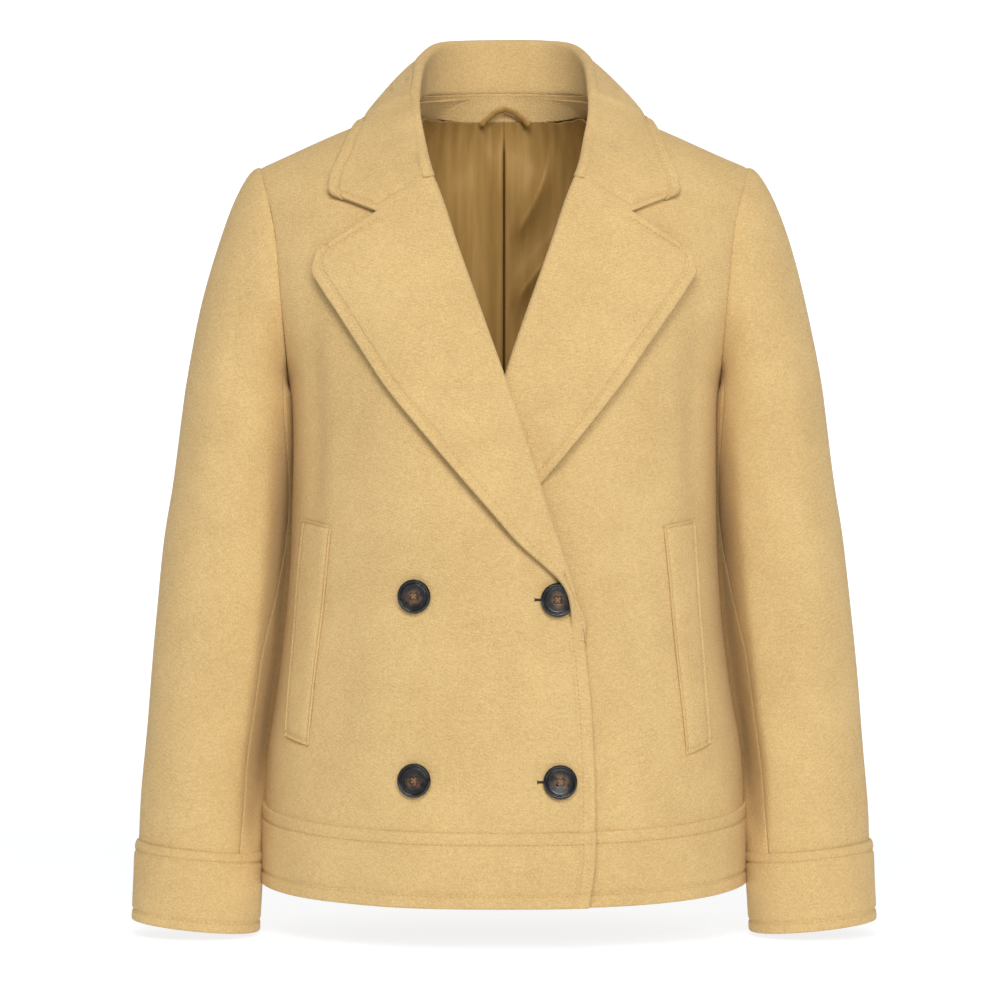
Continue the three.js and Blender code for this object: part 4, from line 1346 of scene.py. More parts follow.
@dataclass
class Collar:
    """Stand and fall of the collar, the facing inside the neck and the hanger loop."""

    room: Workroom
    # Each row, from the centre back to the gorge: the neck seam's x, z and side, a point of the fold
    # line, a point of the outer edge, and the leaf's bulge between them.
    rows: tuple[tuple, ...] = (
        (0, 35, 1, (0, 80, 81), (0, 104, 10), 4),
        (30, 34, 1, (32, 74, 80), (44, 101, 7), 5),
        (52, 32, 1, (53, 50, 74), (84, 80, 2), 6),
        (66, 28.5, 1, (63, 22, 60), (104, 45, 3), 7),
        (68.2, 27, 1, (66.5, -8, 42), (113, 14, 4), 8),
        (71, 14.5, -1, (66.5, -33, 21), (117, -9, 0), 7),
        (74, -3, -1, (65, -50, 3.5), (122, -28, -14), 4),
        (72, -22, -1, (61.5, -66, -17), (128, -44, -33), 2),
        (66, -37, -1, (58, -79, -33), (136, -57, -45), 1),
        (57.5, -47, -1, (53.6, -89, -48), (138, -70, -57), 0))
    wall: float = 4.0
    seam: float = 0.3
    fold_radius: float = 3.2
    below_fold: float = 1.4
    corner: float = 5.5
    # Share of the leaf at which the end's edge drops most, the drop, and where it begins along the collar.
    notch: tuple[float, float, float] = (0.44, 26.0, 0.8)
    stitch: float = 9.0
    # Half width, lower edge's height, wall and inset of the facing.
    facing: tuple[float, float, float, float] = (71.0, 17.0, 1.3, 0.0)
    facing_sag: float = 7.0
    facing_stitch: float = 2.2
    # Half span, middle's x, rise and radius of the loop.
    hanger: tuple[float, float, float, float] = (23.0, 1.0, 12.5, 2.1)
    hanger_off: float = 8.0

    def curves(self, t: Grid) -> tuple[Grid, Grid, Grid, Grid]:
        """Neck seam, fold line and outer edge as smooth curves through the rows and their mirror images.

        Args:
            t: places from one gorge to the other, 0 to 1.

        Returns:
            The three curves, and the leaf's bulge along them.
        """
        form = self.room.pattern.form
        x, z, side = (np.array([row[k] for row in self.rows], float) for k in range(3))
        neck = form.surface(x, z, side)
        neck = neck - form.normal(neck) * WALL / 2
        fold, edge = (np.array([row[k] for row in self.rows], float) for k in (3, 4))
        bulge = np.array([(row[5], 0.0, 0.0) for row in self.rows])
        bulge[:, 1] = np.arange(len(bulge)) * 4
        flip = np.array([-1, 1, 1])
        lines = [np.vstack([line[:0:-1] * flip, line]) for line in (neck, fold, edge)]
        both = np.vstack([bulge[:0:-1], bulge])
        both[:, 1] = np.arange(len(both)) * 4
        return (*[centripetal(line, t) for line in lines], centripetal(both, t)[:, 0])

    def grid(self) -> tuple[Grid, Grid, int]:
        """Middle grid: stand, half circle over the fold, then the leaf down to the outer edge.

        Returns:
            The grid, the hints for its normals, and the column at which the leaf starts.
        """
        form = self.room.pattern.form
        near = (0.3, 0.8, 1.4, 2, 2.8, 4, 5.5, 7.5, 8.4, 9, 9.6, 10.5, 12)
        t = near_ends(150, 520, near, near)
        base, top, tip, bulge = self.curves(t)
        up = top - base
        height = np.linalg.norm(up, axis=-1, keepdims=True)
        up = unit(up)
        out = tip - top
        out = unit(out - (out * up).sum(-1, keepdims=True) * up)
        away = unit(top - np.array([0, 5, 30]))
        start = base + up * self.seam
        springing = np.maximum(0.4, height - self.fold_radius - self.below_fold)
        stand = start[:, None] + up[:, None] * springing[:, None] * np.linspace(0, 1, 11)[None, :-1, None]
        centre = start + up * springing + out * self.fold_radius
        angle = np.linspace(0, np.pi, 15)[None, :, None]
        spoke = -np.cos(angle) * out[:, None] + np.sin(angle) * up[:, None]
        arc = centre[:, None] + spoke * self.fold_radius
        first = arc[:, -1]
        to_front = np.abs(2 * t - 1)
        edge_run = run_lengths(tip, 0)
        length = np.linalg.norm(tip - first, axis=-1)
        corner = rim(np.minimum(*edge_run), self.corner) / length
        f = near_ends(36, 80, (0.8,), (0.3, 0.7, 1.2, 1.8, 2.5, 3.4, 5, 7.5, 8.3, 9, 9.7, 10.6, 12))[None, 1:]
        f = f * (1 - corner)[:, None]
        along, drop, begin = self.notch
        tent = np.where(f < along, (f / along) ** 0.65, (1 - f) / (1 - along))
        leaf = mix(first[:, None], tip[:, None], f[..., None])
        leaf[..., 2] -= drop * tent * smooth((to_front - begin) / (1 - begin))[:, None]
        leaf = leaf + away[:, None] * (bulge[:, None] * np.sin(np.pi * f))[..., None]
        tip_lift = 0.4 + smooth((to_front[:, None] - 0.6) / 0.3)
        leaf = form.clear(leaf, (0.5 + self.wall / 2) * smooth(f / 0.3) + tip_lift * f**2)
        grid = np.concatenate([stand, arc, leaf], 1)
        hints = np.concatenate([np.broadcast_to(-out[:, None], stand.shape), spoke, form.normal(leaf)], 1)
        return grid, hints, stand.shape[1] + arc.shape[1]

    def build(self) -> None:
        """Makes the collar and what lies inside the neck."""
        grid, hints, leaf_at = self.grid()
        normals = grid_normals(grid, hints)
        from_seam, from_edge = run_lengths(grid, 1)
        from_left, from_right = run_lengths(grid, 0)
        from_end = np.minimum(from_left, from_right)
        on_leaf = smooth((np.arange(grid.shape[1]) - leaf_at) / 5)[None]
        drop = rim(from_edge, 2.0) + rim(from_end, 2.0) * np.maximum(on_leaf, smooth((from_seam - 3) / 4))
        pulled = trough(from_end, self.stitch) * on_leaf * smooth((from_edge - self.stitch) / 2)
        pulled = pulled + trough(from_edge, self.stitch)
        x, y = grid[..., 0], grid[..., 1]
        wave = 0.9 * np.sin(np.arctan2(y, np.abs(x) + 1) * 5 + np.sign(x) * 0.7) * on_leaf
        wave = (wave + 0.8 * ripple(grid)) * smooth(from_seam / 12)
        thick = mix(WALL, self.wall, smooth(from_seam / 4))
        drop = np.minimum(drop, thick / 2 - 0.15)
        outer = grid + normals * (thick / 2 + wave - drop - pulled)[..., None]
        inner = grid - normals * (thick / 2 - wave - drop)[..., None]
        self.room.wool_shell("collar", outer, inner)
        stitching = Stitching()
        stitching.add(*inset_path(outer, normals, 1, True, self.stitch, (self.stitch, self.stitch)))
        leaf, leaf_normals = outer[:, leaf_at:], normals[:, leaf_at:]
        for last in (False, True):
            stitching.add(*inset_path(leaf, leaf_normals, 0, last, self.stitch, (14, self.stitch)))
        self.room.sew(stitching, "topstitch_collar")
        self.neck_facing()
        self.hanger_loop()

    def neck_facing(self) -> None:
        """Wool strip inside the back neck, stitched near its top edge."""
        pat = self.room.pattern
        half, low_z, wall, inset = self.facing
        down, u = np.meshgrid(near_ends(12, 18, (0.3, 0.8, 1.5), (0.3, 0.8, 1.5)), np.linspace(-1, 1, 60),
                              indexing="ij")
        x = half * u
        z = mix(pat.back_top(x) + 3.0, low_z, down)
        outer_height = -WALL - inset
        grid = pat.on_back(x, z, outer_height - wall / 2 - self.facing_sag * down * (1 - np.abs(u) ** 3))
        normals = grid_normals(grid, pat.form.normal(grid))
        drop = sum(rim(d, 0.7) for d in run_lengths(grid, 0) + run_lengths(grid, 1))
        bow = 0.5 * np.sin(x / 14) * down
        outer = grid + normals * (wall / 2 - drop + bow)[..., None]
        inner = grid - normals * (wall / 2 - drop - bow)[..., None]
        self.room.wool_shell("neck_facing", outer, inner)
        stitching = Stitching(pitch=3.0, length=2.1, radius=0.28)
        stitching.add(*inset_path(inner, -normals, 0, False, self.facing_stitch))
        self.room.sew(stitching, "topstitch_neck_facing")

    def hanger_loop(self) -> None:
        """Flat satin loop to hang the coat by, sewn in under the facing."""
        pat = self.room.pattern
        span, centre_x, rise, radius = self.hanger
        share = np.linspace(0, 1, 60)
        x = centre_x + mix(-span, span, share)
        arch = np.sin(np.pi * share)
        z = self.facing[1] - 1.5 + rise * arch**0.62
        wall, inset = self.facing[2:]
        path = pat.on_back(x, z, -WALL - inset - wall - self.hanger_off - radius - (1 - arch))
        tangent = unit(np.gradient(path, axis=0))
        inward = -pat.form.normal(path)
        across = unit(np.cross(tangent, inward))
        angle = np.linspace(0, math.tau, 17)[:-1]
        ring = (np.cos(angle)[None, :, None] * across[:, None] * radius * 1.15
                + np.sin(angle)[None, :, None] * inward[:, None] * radius * 0.55)
        outer = path[:, None] + ring
        inner = path[:, None] + ring * 0.3
        shell = Shell(outer, inner, wrap=True).build("loop_hanger", self.room.satin)
        self.room.finish_off(shell, "lining", ["hanger_loop"])


@dataclass
class Lining:
    """Satin back lining with a centre pleat and soft hanging folds."""

    room: Workroom
    wall: float = 1.0
    inset: float = 3.2
    top_z: float = 17.6
    side_drop: float = 9.0
    bottom_z: float = -545.0
    # Depth and half width of the pleat's valley.
    pleat: tuple[float, float] = (13.0, 0.8)
    # Depth in from the back, and how far a fold may come out again.
    stand: float = 9.0
    out_most: float = -2.0
    # Height of the slanting crests on the left and on the right of the pleat.
    crests: tuple[float, float] = (5.5, 9.0)

    def fold(self, x: Grid, z: Grid) -> Grid:
        """Depth inwards: long wandering sine folds, slanting crests of 1 - |sin|, fine gathers along the
        top edge, and a sharp bell-shaped valley on the centre line for the pleat.

        Args:
            x: distance from the centre line.
            z: height.

        Returns:
            The depth in mm, never so low that it meets the back.
        """
        below = smooth((14 - z) / 60)
        long_folds = 1.8 * np.sin(x / 10.5 + 0.9 * np.sin(z / 52) + 1.3)
        long_folds = long_folds + 0.7 * np.sin(x / 6.4 - z / 48 + 0.4)
        right = 1 - np.abs(np.sin((0.95 * x - 0.5 * z) / 13 + 0.6 * np.sin(z / 33)))
        right = self.crests[1] * right**1.3 * smooth((x - 3) / 12)
        left = 1 - np.abs(np.sin((0.9 * x + 0.25 * z) / 17 + 0.6 * np.sin(z / 41) + 1.0))
        left = self.crests[0] * left**1.3 * smooth((-4 - x) / 16)
        slant = (right + left) * smooth((250 + z) / 120)
        gathers = 0.9 * np.sin(x / 1.9 + 0.8 * np.sin(x / 9)) * np.exp(-((18 - z) / 17) ** 2)
        valley = -self.pleat[0] * np.exp(-((x / self.pleat[1]) ** 2)) + 2.5 * np.exp(-(((x + 5) / 5) ** 2))
        amount = mix(0.5, 1.0, below) * smooth((150 - np.abs(x)) / 40)
        inwards = self.stand + long_folds + mix(0.6, 1.0, below) * slant + valley
        return np.maximum(amount * inwards + gathers, self.out_most)

    def build(self) -> None:
        """Makes the lining."""
        pat = self.room.pattern
        close = np.array([-2.6, -1.8, -1.2, -0.8, -0.4, 0, 0.4, 0.8, 1.2, 1.8, 2.6]) / 512
        columns_at = np.sort(np.concatenate([np.linspace(-0.5, 0.5, 320), close]))
        shares = np.concatenate([near_ends(96, 250, (0.3, 0.8))[:-1] * 0.45, np.linspace(0.45, 1, 36)])
        down, u = np.meshgrid(shares, columns_at, indexing="ij")
        z = mix(0.0, self.bottom_z, down)
        for _ in range(18):
            x = (pat.side(z) - 3) * np.sin(u * np.pi * 0.96)
            sides = pat.form.ridge(x) - self.side_drop
            neck = np.minimum(self.top_z, sides)
            z = mix(z, mix(np.where(np.abs(x) < pat.back_neck[0], neck, sides), self.bottom_z, down), 0.6)
        middle = pat.on_back(x, z, -WALL - self.inset - self.fold(x, z))
        normals = grid_normals(middle, pat.form.normal(middle))
        half = normals * self.wall / 2
        shell = Shell(middle + half, middle - half).build("shell_lining", self.room.satin)
        self.room.finish_off(shell, "lining", ["lining_back"], middle)


@dataclass
class Sleeves:
    """Two-piece sleeves with a set-in cap, and stitched cuffs."""

    room: Workroom
    # Rings of the arm and of the cuff: height, outer x, inner x, depth, and y of the middle.
    arm: tuple[tuple[float, ...], ...] = (
        (-216, 255, 168.0, 58, 0), (-285, 264, 165.4, 59, 0), (-330, 270.5, 167.6, 58, -2),
        (-390, 277, 172.4, 56, -5), (-450, 282, 179.8, 53, -8), (-498, 285.5, 186.4, 50, -11),
        (-540, 288.5, 189.2, 47, -14), (-574.5, 290, 192.4, 44.5, -17))
    hand: tuple[tuple[float, ...], ...] = (
        (-571.4, 291.6, 191.6, 46.0, -17), (-577, 293.2, 190.8, 47.4, -17.3),
        (-604, 294.2, 192.4, 46.5, -19), (-634.5, 295.2, 193.8, 45, -21))
    cuff_wall: float = 3.6
    tilt: float = 0.1
    # Power of the section's sine, plain and on the hollowed inner side, and how far that side moves back.
    roundness: tuple[float, float] = (0.92, 3.0)
    hollow: float = 24.0
    seams: tuple[float, float] = (134.0, 240.0)
    # Turn of the front seam out of sight at the top, and the height below which it is in its place.
    seam_hides: tuple[float, float] = (0.3, -430.0)
    half_gap: float = 0.35
    armhole_seam: float = -1.0
    cuff_stitch: float = 8.5

    def armhole_point(self, angle: Grid) -> Grid:
        """Points of the armhole seam on the body form.

        Args:
            angle: 0 at the shoulder, a quarter turn in front, a half under the arm.

        Returns:
            Points, (..., 3).
        """
        pat = self.room.pattern
        top, low = pat.armhole[0][0], pat.armhole[-1][0]
        z = mix(low, top, (1 + np.cos(angle)) / 2)
        return pat.form.surface(Profile(pat.armhole)(z), z, np.where(np.sin(angle) >= 0, -1.0, 1.0))

    def ring_point(self, table: Sequence[Sequence[float]], z: Grid, angle: Grid) -> Grid:
        """Points of rings that lean with the arm: an ellipse a little flattened, hollowed backwards inside.

        Args:
            table: rows of height, outer x, inner x, depth and y.
            z: height.
            angle: angle round the arm from outside.

        Returns:
            Points, (..., 3).
        """
        outer, inner, depth, y = (columns(table, k)(z) for k in (1, 2, 3, 4))
        reach = (outer - inner) / 2 * np.cos(angle)
        hollow = smooth((np.abs((angle + np.pi) % math.tau - np.pi) - 2.2) / 0.45)
        hollow = hollow * smooth((self.arm[0][0] - z) / 120) * smooth((z + 572) / 70)
        flat = np.sign(np.sin(angle)) * np.abs(np.sin(angle)) ** mix(*self.roundness, hollow)
        tilt = self.tilt * smooth((self.arm[0][0] - z) / 200)
        y = y - depth * flat + self.hollow * hollow
        return np.stack([(outer + inner) / 2 + reach, y, z + tilt * reach], -1)

    def cap_point(self, angle: Grid, t: Grid) -> Grid:
        """Points of the cap: a cubic that leaves the seam sideways and arrives straight down.

        Args:
            angle: angle round the arm.
            t: share from the seam to the first ring.

        Returns:
            Points, (..., 3).
        """
        start = self.armhole_point(angle) + np.array([self.armhole_seam, 0, 0])
        end = self.ring_point(self.arm, np.full_like(angle, self.arm[0][0]), angle)
        high = (1 + np.cos(angle)) / 2
        leave = np.stack([mix(6, 68, high**0.8), -np.sin(angle) * 10, mix(-14, 6, high)], -1)
        arrive = np.stack([mix(1, 24, high), 0 * high, -mix(12, 190, high**1.3)], -1)
        return hermite(start, end, leave, arrive, t[..., None])

    def creases(self, p: Grid) -> Grid:
        """Main creases of a sleeve on the left side of the coat.

        Args:
            p: points, (..., 3).

        Returns:
            The offset in mm.
        """
        runs = [
            Crease((200, -48, -120), (232, -62, -330), 12, -2.2),
            Crease((232, -50, -90), (252, -50, -300), 16, -1.6),
            Crease((190, -50, -260), (225, -60, -470), 14, -2.0),
            Crease((215, -60, -330), (262, -40, -420), 13, -1.8),
            Crease((205, -60, -390), (268, -35, -480), 12, 1.4),
            Crease((210, -60, -440), (270, -30, -540), 11, -1.5),
            Crease((215, 50, -300), (255, 40, -500), 16, -2.0),
            Crease((260, 5, -240), (280, 0, -460), 18, -1.2)]
        return sum(run.at(p) for run in runs)

    def seam_angle(self, angle: Grid, z: Grid | float) -> Grid:
        """Angles moved back under the arm near the top, so that the front seam shows only lower down."""
        hidden = self.seam_hides[0] * smooth((z - self.seam_hides[1]) / 130)
        return angle + hidden * smooth((angle - np.pi / 2) / 0.77) * smooth((np.pi - angle) / 0.8)

    def piece(self, front: Front, name: str, start: float, stop: float, count: int) -> None:
        """One of the sleeve's two lengths, between its two seams, with gathers at the cap.

        Args:
            front: which side.
            name: top or under.
            start: angle of its first seam in degrees.
            stop: angle of its second seam.
            count: number of columns.
        """
        seam = math.radians(self.half_gap)
        begin, end = math.radians(start) + seam, math.radians(stop) - seam
        u = near_ends(count, (end - begin) * 55, CLOSE, CLOSE)
        step = (end - begin) * 0.01
        angle = np.concatenate([[begin - step], mix(begin, end, u), [end + step]])
        cap = near_ends(30, 130, CLOSE, ())
        low = near_ends(70, 356, (), CLOSE)[1:]
        t, a = np.meshgrid(cap, angle, indexing="ij")
        down, b = np.meshgrid(low, angle, indexing="ij")
        z = mix(self.arm[0][0], self.arm[-1][0], down)
        wide = np.concatenate([self.cap_point(self.seam_angle(a, 0.0), t),
                               self.ring_point(self.arm, z, self.seam_angle(b, z))])
        z = wide[..., 2] - 25
        middle_x = mix(200, 243, np.clip((-100 - z) / 470, 0, 1))
        middle_y = mix(0, -17, np.clip(-z / 570, 0, 1))
        axis = np.stack([middle_x, middle_y, z], -1)
        normals = grid_normals(wide, wide - axis)[:, 1:-1]
        face = wide[:, 1:-1]
        from_top, from_low = run_lengths(face, 0)
        drop = sum(Finish().drop(d) for d in run_lengths(face, 1) + (from_top,))
        settle = smooth(from_top / 35) * smooth(from_low / 20)
        rise = (self.creases(face) + ripple(face * front.side) * 0.9) * settle
        gather = 0.5 * np.sin(np.arange(face.shape[1])[None] * 0.9) * np.exp(-((from_top - 6) / 8) ** 2)
        outer = face + normals * (rise + gather * 0.5 - drop)[..., None]
        inner = face + normals * (rise - WALL)[..., None]
        self.room.wool_shell(f"sleeve_{name}_{front.name}", outer, inner, side=front.side)

    def cuff(self, front: Front) -> None:
        """A closed band round the wrist, with a fold at the bottom and two rows of stitches.

        Args:
            front: which side.
        """
        near = (0.3, 0.8, 1.4, 2, 3, 6, 7.5, 8.2, 8.8, 9.6, 11)
        down, angle = np.meshgrid(near_ends(10, 63, near, near), np.linspace(0, math.tau, 121)[:-1],
                                  indexing="ij")
        face = self.ring_point(self.hand, mix(self.hand[0][0], self.hand[-1][0], down), angle)
        normals = grid_normals(face, face * np.array([1, 1, 0]) - np.array([245, -19, 0]), True)
        from_top, from_low = run_lengths(face, 0)
        drop = rim(from_top, 1.4) + rim(from_low, 1.8) + trough(from_top, self.cuff_stitch)
        drop = drop + trough(from_low, self.cuff_stitch)
        wave = ripple(face * front.side) * 0.7
        outer = face + normals * (wave - drop)[..., None]
        inner = face + normals * (wave - self.cuff_wall + rim(from_low, 1.7))[..., None]
        self.room.wool_shell(f"cuff_{front.name}", outer, inner, wrap=True, side=front.side)
        stitching = Stitching()
        for last in (False, True):
            path, ups = inset_path(outer, normals, 0, last, self.cuff_stitch)
            stitching.add(path * front.side, ups * front.side)
        self.room.sew(stitching, f"topstitch_cuff_{front.name}")

    def build(self) -> None:
        """Makes both sleeves and cuffs."""
        front_seam, back_seam = self.seams
        for front in FRONTS:
            self.piece(front, "top", back_seam - 360, front_seam, 90)
            self.piece(front, "under", front_seam, back_seam, 40)
            self.cuff(front)


@dataclass
class Buttons:
    """Four-hole horn buttons with a raised rim, sewn on with a cross of thread, and their buttonholes."""

    room: Workroom
    # Own x and height of each button.
    places: tuple[tuple[float, float], ...] = ((67, -371.5), (-40, -374), (67, -512.5), (-42, -513.5))
    radius: float = 13.1
    height: float = 4.4
    # Offset of a hole from both middle lines, its size and its depth.
    hole: tuple[float, float, float] = (2.0, 1.05, 1.3)
    # Radius at which the brown of the dish starts to fade, and the width of the fade.
    brown: tuple[float, float] = (3.4, 5.0)
    strand_gap: float = 0.42
    # The buttonhole's two ends from the button's middle, and the half height of its end bar.
    slit: tuple[float, float, float] = (-6.0, 16.8, 1.1)

    def profile(self) -> Grid:
        """Radius and height from the middle of the back, over the rim, to the middle of the dish.

        Returns:
            Pairs, (n, 2).
        """
        r, h = self.radius, self.height
        raw = np.array([
            (0, 0), (r - 2.4, 0), (r - 1.2, 0.5), (r - 0.4, 1.3), (r, 2.5), (r - 0.3, 3.3),
            (r - 0.9, h - 0.5), (r - 1.5, h), (r - 2.1, h - 0.2), (r - 2.6, h - 1.3),
            (r - 3.1, h - 1.35), (r - 3.7, h - 0.8), (r - 4.4, h - 0.95), (0, h - 1.6)], float)
        run = np.concatenate([[0], np.cumsum(np.linalg.norm(np.diff(raw, axis=0), axis=1))])
        t = np.concatenate([np.linspace(0, run[1], 4), np.linspace(run[1], run[12], 52)[1:],
                            np.linspace(run[12], run[13], 34)[1:]])
        return np.stack([np.interp(t, run, raw[:, 0]), np.interp(t, run, raw[:, 1])], -1)

    def button(self, name: str, own: float, z: float) -> None:
        """One button on the cloth of the right front, and its thread.

        Args:
            name: the CAD node's name.
            own: x towards the wearer's right.
            z: height.
        """
        pat = self.room.pattern
        right = FRONTS[0]
        spot_own, spot_z = np.array([own]), np.array([z])
        up = pat.form.normal(pat.form.surface(right.sign * spot_own, spot_z, -1.0))[0]
        seat = pat.on_front(right, spot_own, spot_z, 0.0)[0]
        seat = seat + up * (SEAM + 0.1 + body_creases(seat))
        right_hand = unit(np.cross([0, 0, 1.0], up))
        axes = (right_hand, np.cross(up, right_hand), up)
        self.disc(f"horn_{name}", seat, axes)
        self.room.sew(self.cross(seat, axes), f"thread_{name}", "button", self.room.brown_thread)

    def disc(self, name: str, seat: Grid, axes: tuple[Grid, Grid, Grid]) -> None:
        """The horn: the profile turned about its axis, with the four holes sunk in the dish.

        Args:
            name: the object's name.
            seat: middle of the back.
            axes: directions to the right, upwards and out of the cloth.
        """
        right_hand, upright, up = axes
        r, h = self.profile().T
        angle = np.linspace(0, math.tau, 97)[:-1]
        x, y = r[:, None] * np.cos(angle), r[:, None] * np.sin(angle)
        offset, size, deep = self.hole
        well = sum(1 - smooth((np.hypot(x - a, y - b) - size * 0.7) / (size * 0.5))
                   for a in (-offset, offset) for b in (-offset, offset))
        top = (np.arange(len(r)) > 8)[:, None]
        level = h[:, None] - well * deep * top
        points = seat + x[..., None] * right_hand + y[..., None] * upright + level[..., None] * up
        rows, cols = x.shape
        ids = np.arange(rows * cols).reshape(rows, cols)
        nxt = np.roll(ids, -1, axis=1)
        faces = np.stack([ids[:-1], nxt[:-1], nxt[1:], ids[1:]], -1).reshape(-1, 4)
        piece = make_object(name, points.reshape(-1, 3) * MM, faces, self.room.horn)
        self.weld(piece)
        dish = piece.data.attributes.new("dish", "FLOAT", "POINT")
        corners = np.empty(len(piece.data.vertices) * 3, np.float32)
        piece.data.vertices.foreach_get("co", corners)
        out = np.linalg.norm(np.cross(corners.reshape(-1, 3) / MM - seat, up), axis=1)
        dish.data.foreach_set("value", (1 - smooth((out - self.brown[0]) / self.brown[1])).astype(np.float32))
        self.room.finish_off(piece, "button", [name.replace("horn_", "")])

    def cross(self, seat: Grid, axes: tuple[Grid, Grid, Grid]) -> Stitching:
        """The thread: three strands from hole to hole along each diagonal, one diagonal over the other.

        Args:
            seat: middle of the button's back.
            axes: directions to the right, upwards and out of the cloth.

        Returns:
            The stitches.
        """
        right_hand, upright, up = axes
        stitching = Stitching(length=self.hole[0] * 2.9, radius=0.3)
        level = seat + up * (self.height - 1.15)
        strand = np.array([[-1.0], [0.0], [1.0]])
        for turn in (1, -1):
            along = unit(right_hand + turn * upright)
            aside = np.cross(up, along)
            height = 0.3 * (turn > 0) - np.abs(strand) * 0.1
            centres = level + aside * strand * self.strand_gap + up * height
            stitching.add_ones(centres, np.tile(along, (3, 1)), np.tile(up, (3, 1)))
        return stitching

    def weld(self, piece: bpy.types.Object) -> None:
        """Joins the points that lie on the axis and turns the faces outwards.

        Args:
            piece: the button.
        """
        mesh = bmesh.new()
        mesh.from_mesh(piece.data)
        bmesh.ops.remove_doubles(mesh, verts=mesh.verts, dist=1e-6)
        bmesh.ops.recalc_face_normals(mesh, faces=mesh.faces)
        mesh.to_mesh(piece.data)
        mesh.free()

    def buttonhole(self, own: float, z: float) -> Stitching:
        """Stitches of one buttonhole, which shows a little way beyond its button.

        Args:
            own: the button's x towards the wearer's right.
            z: its height.

        Returns:
            The stitches.
        """
        pat = self.room.pattern
        start, stop, half_bar = self.slit
        along = np.arange(start, stop - 0.2, 0.5)
        rows = Stitching(length=1.5, radius=0.28)
        for side in (-1, 1):
            spots = pat.on_front(FRONTS[0], own + along, z + side * 0.4 + 0 * along, 0.1)
            normals = pat.form.normal(spots)
            spots = spots + normals * body_creases(spots)[:, None]
            rows.add_ones(spots, np.tile([0, 0, 1.0], (len(spots), 1)), normals)
        end = np.linspace(-half_bar, half_bar, 5)
        spots = pat.on_front(FRONTS[0], own + stop + 0 * end, z + end, 0.1)
        spots = spots + pat.form.normal(spots) * body_creases(spots)[:, None]
        rows.add_ones(spots, np.tile([0, 0, 1.0], (5, 1)), pat.form.normal(spots))
        return rows

    def build(self) -> None:
        """Makes the buttons, and buttonholes beside the two near the front edge."""
        for number, (own, z) in enumerate(self.places, 1):
            self.button(f"button_{number}", own, z)
        for number in (1, 3):
            stitching = self.buttonhole(*self.places[number])
            self.room.sew(stitching, f"buttonhole_{(number + 1) // 2}", "wool", self.room.dark_thread)


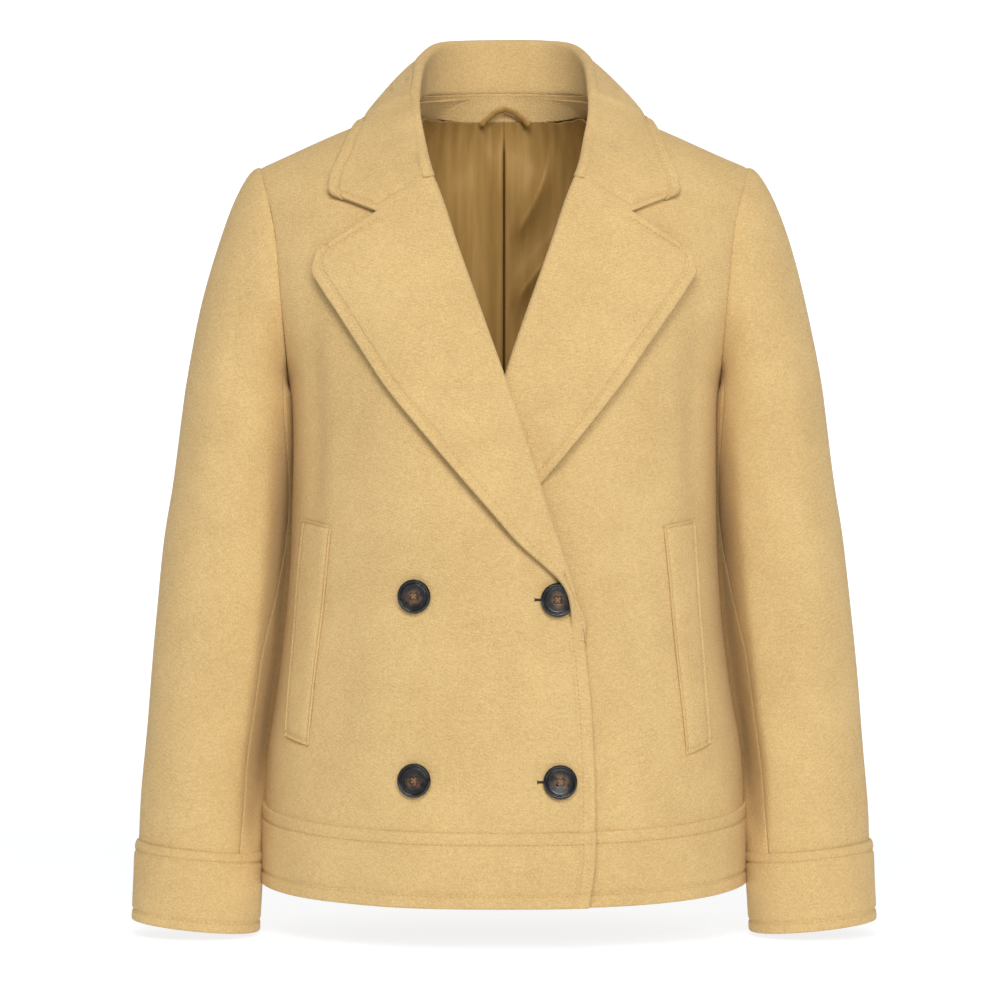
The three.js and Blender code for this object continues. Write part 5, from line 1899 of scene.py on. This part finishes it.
@dataclass
class Studio:
    """White sweep, soft lights and the camera at the photograph's angle."""

    floor_z: float = -0.6425
    half_width: float = 6.0
    front_y: float = -6.0
    # Where the floor starts to bend up, and the bend's radius.
    bend: tuple[float, float] = (4.2, 1.2)
    top: float = 6.0
    grey: tuple[float, float, float, float] = (0.25, 0.27, 0.30, 1.0)
    # Glow in front, under the coat and behind.
    glows: tuple[float, float, float] = (0.35, 0.83, 1.0)
    world: float = 0.27
    camera: tuple[float, float, float] = (0.0, -2.6, -0.301)
    lens: float = 116.07
    # Name, place, target, size and power of each light.
    lights: tuple[tuple, ...] = (
        ("key", (-0.2, -2.5, 1.6), (0, 0, -0.1), 1.1, 50),
        ("fill", (0.9, -2.9, 0.8), (0, 0, 0.0), 1.1, 37),
        ("top", (0, -0.3, 2.0), (0, 0, -0.3), 1.4, 2))

    def light(self, name: str, place: tuple, target: tuple, size: float, energy: float) -> None:
        """One square area light pointed at a target.

        Args:
            name: its name.
            place: where it is, in metres.
            target: what it points at.
            size: its side.
            energy: its power in watts.
        """
        data = bpy.data.lights.new(name, "AREA")
        data.size, data.energy = size, energy
        lamp = bpy.data.objects.new(name, data)
        lamp.location = place
        way = mathutils.Vector(target) - mathutils.Vector(place)
        lamp.rotation_euler = way.to_track_quat("-Z", "Y").to_euler()
        bpy.context.collection.objects.link(lamp)

    def sweep(self) -> None:
        """Floor that bends up into a wall behind, and glows more towards the back."""
        shader = Shader("white_sweep")
        distance = shader.node("ShaderNodeSeparateXYZ", {}, {"Vector": shader.place}, "Y")
        dim, under, behind = ((glow, glow, glow, 1.0) for glow in self.glows)
        glow = shader.blend(dim, under, distance.window(-1.2, -0.5))
        glow = shader.blend(glow, behind, distance.window(0.6, 1.6))
        shader.set(Base_Color=self.grey, Roughness=1.0, Specular_IOR_Level=0.0,
                   Emission_Color=glow, Emission_Strength=1.0)
        turn = np.linspace(0, np.pi / 2, 20)
        start, radius = self.bend
        curve = np.stack([start + radius * np.sin(turn), radius - radius * np.cos(turn)], -1)
        path = np.concatenate([[[self.front_y, 0]], curve, [[start + radius, self.top]]])
        grid = np.array([[(x, y, self.floor_z + z) for x in (-self.half_width, self.half_width)]
                         for y, z in path])
        ids = np.arange(len(grid) * 2).reshape(-1, 2)
        faces = np.stack([ids[:-1, 0], ids[:-1, 1], ids[1:, 1], ids[1:, 0]], -1)
        make_object("sweep", grid.reshape(-1, 3), faces, shader.material)

    def build(self) -> None:
        """Makes the sweep, the lights and the camera."""
        self.sweep()
        world = bpy.data.worlds.new("soft_white")
        world.use_nodes = True
        background = world.node_tree.nodes["Background"].inputs
        background["Color"].default_value = (1, 1, 1, 1)
        background["Strength"].default_value = self.world
        bpy.context.scene.world = world
        for row in self.lights:
            self.light(*row)
        data = bpy.data.cameras.new("front")
        data.lens, data.sensor_width, data.clip_end = self.lens, 36.0, 20.0
        camera = bpy.data.objects.new("front", data)
        camera.location, camera.rotation_euler = self.camera, (math.pi / 2, 0, 0)
        bpy.context.collection.objects.link(camera)
        bpy.context.scene.camera = camera
        bpy.context.scene.view_settings.view_transform = "Standard"


def main() -> None:
    """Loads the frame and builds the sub-assemblies in order."""
    logging.basicConfig(level=logging.INFO, format="%(message)s")
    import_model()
    room = Workroom(
        wool=WoolFinish().build(), satin=SatinFinish().build(), horn=HornFinish().build(),
        thread=ThreadFinish().build(),
        brown_thread=ThreadFinish("brown_thread", rgb(168, 126, 86), rgb(92, 64, 42)).build(),
        dark_thread=ThreadFinish("dark_thread", rgb(62, 47, 32), rgb(30, 22, 16)).build())
    for part in (BodyPieces(room), Lapels(room), Collar(room), Lining(room), Sleeves(room), Buttons(room)):
        part.build()
    Studio().build()


if __name__ == "__main__":
    main()
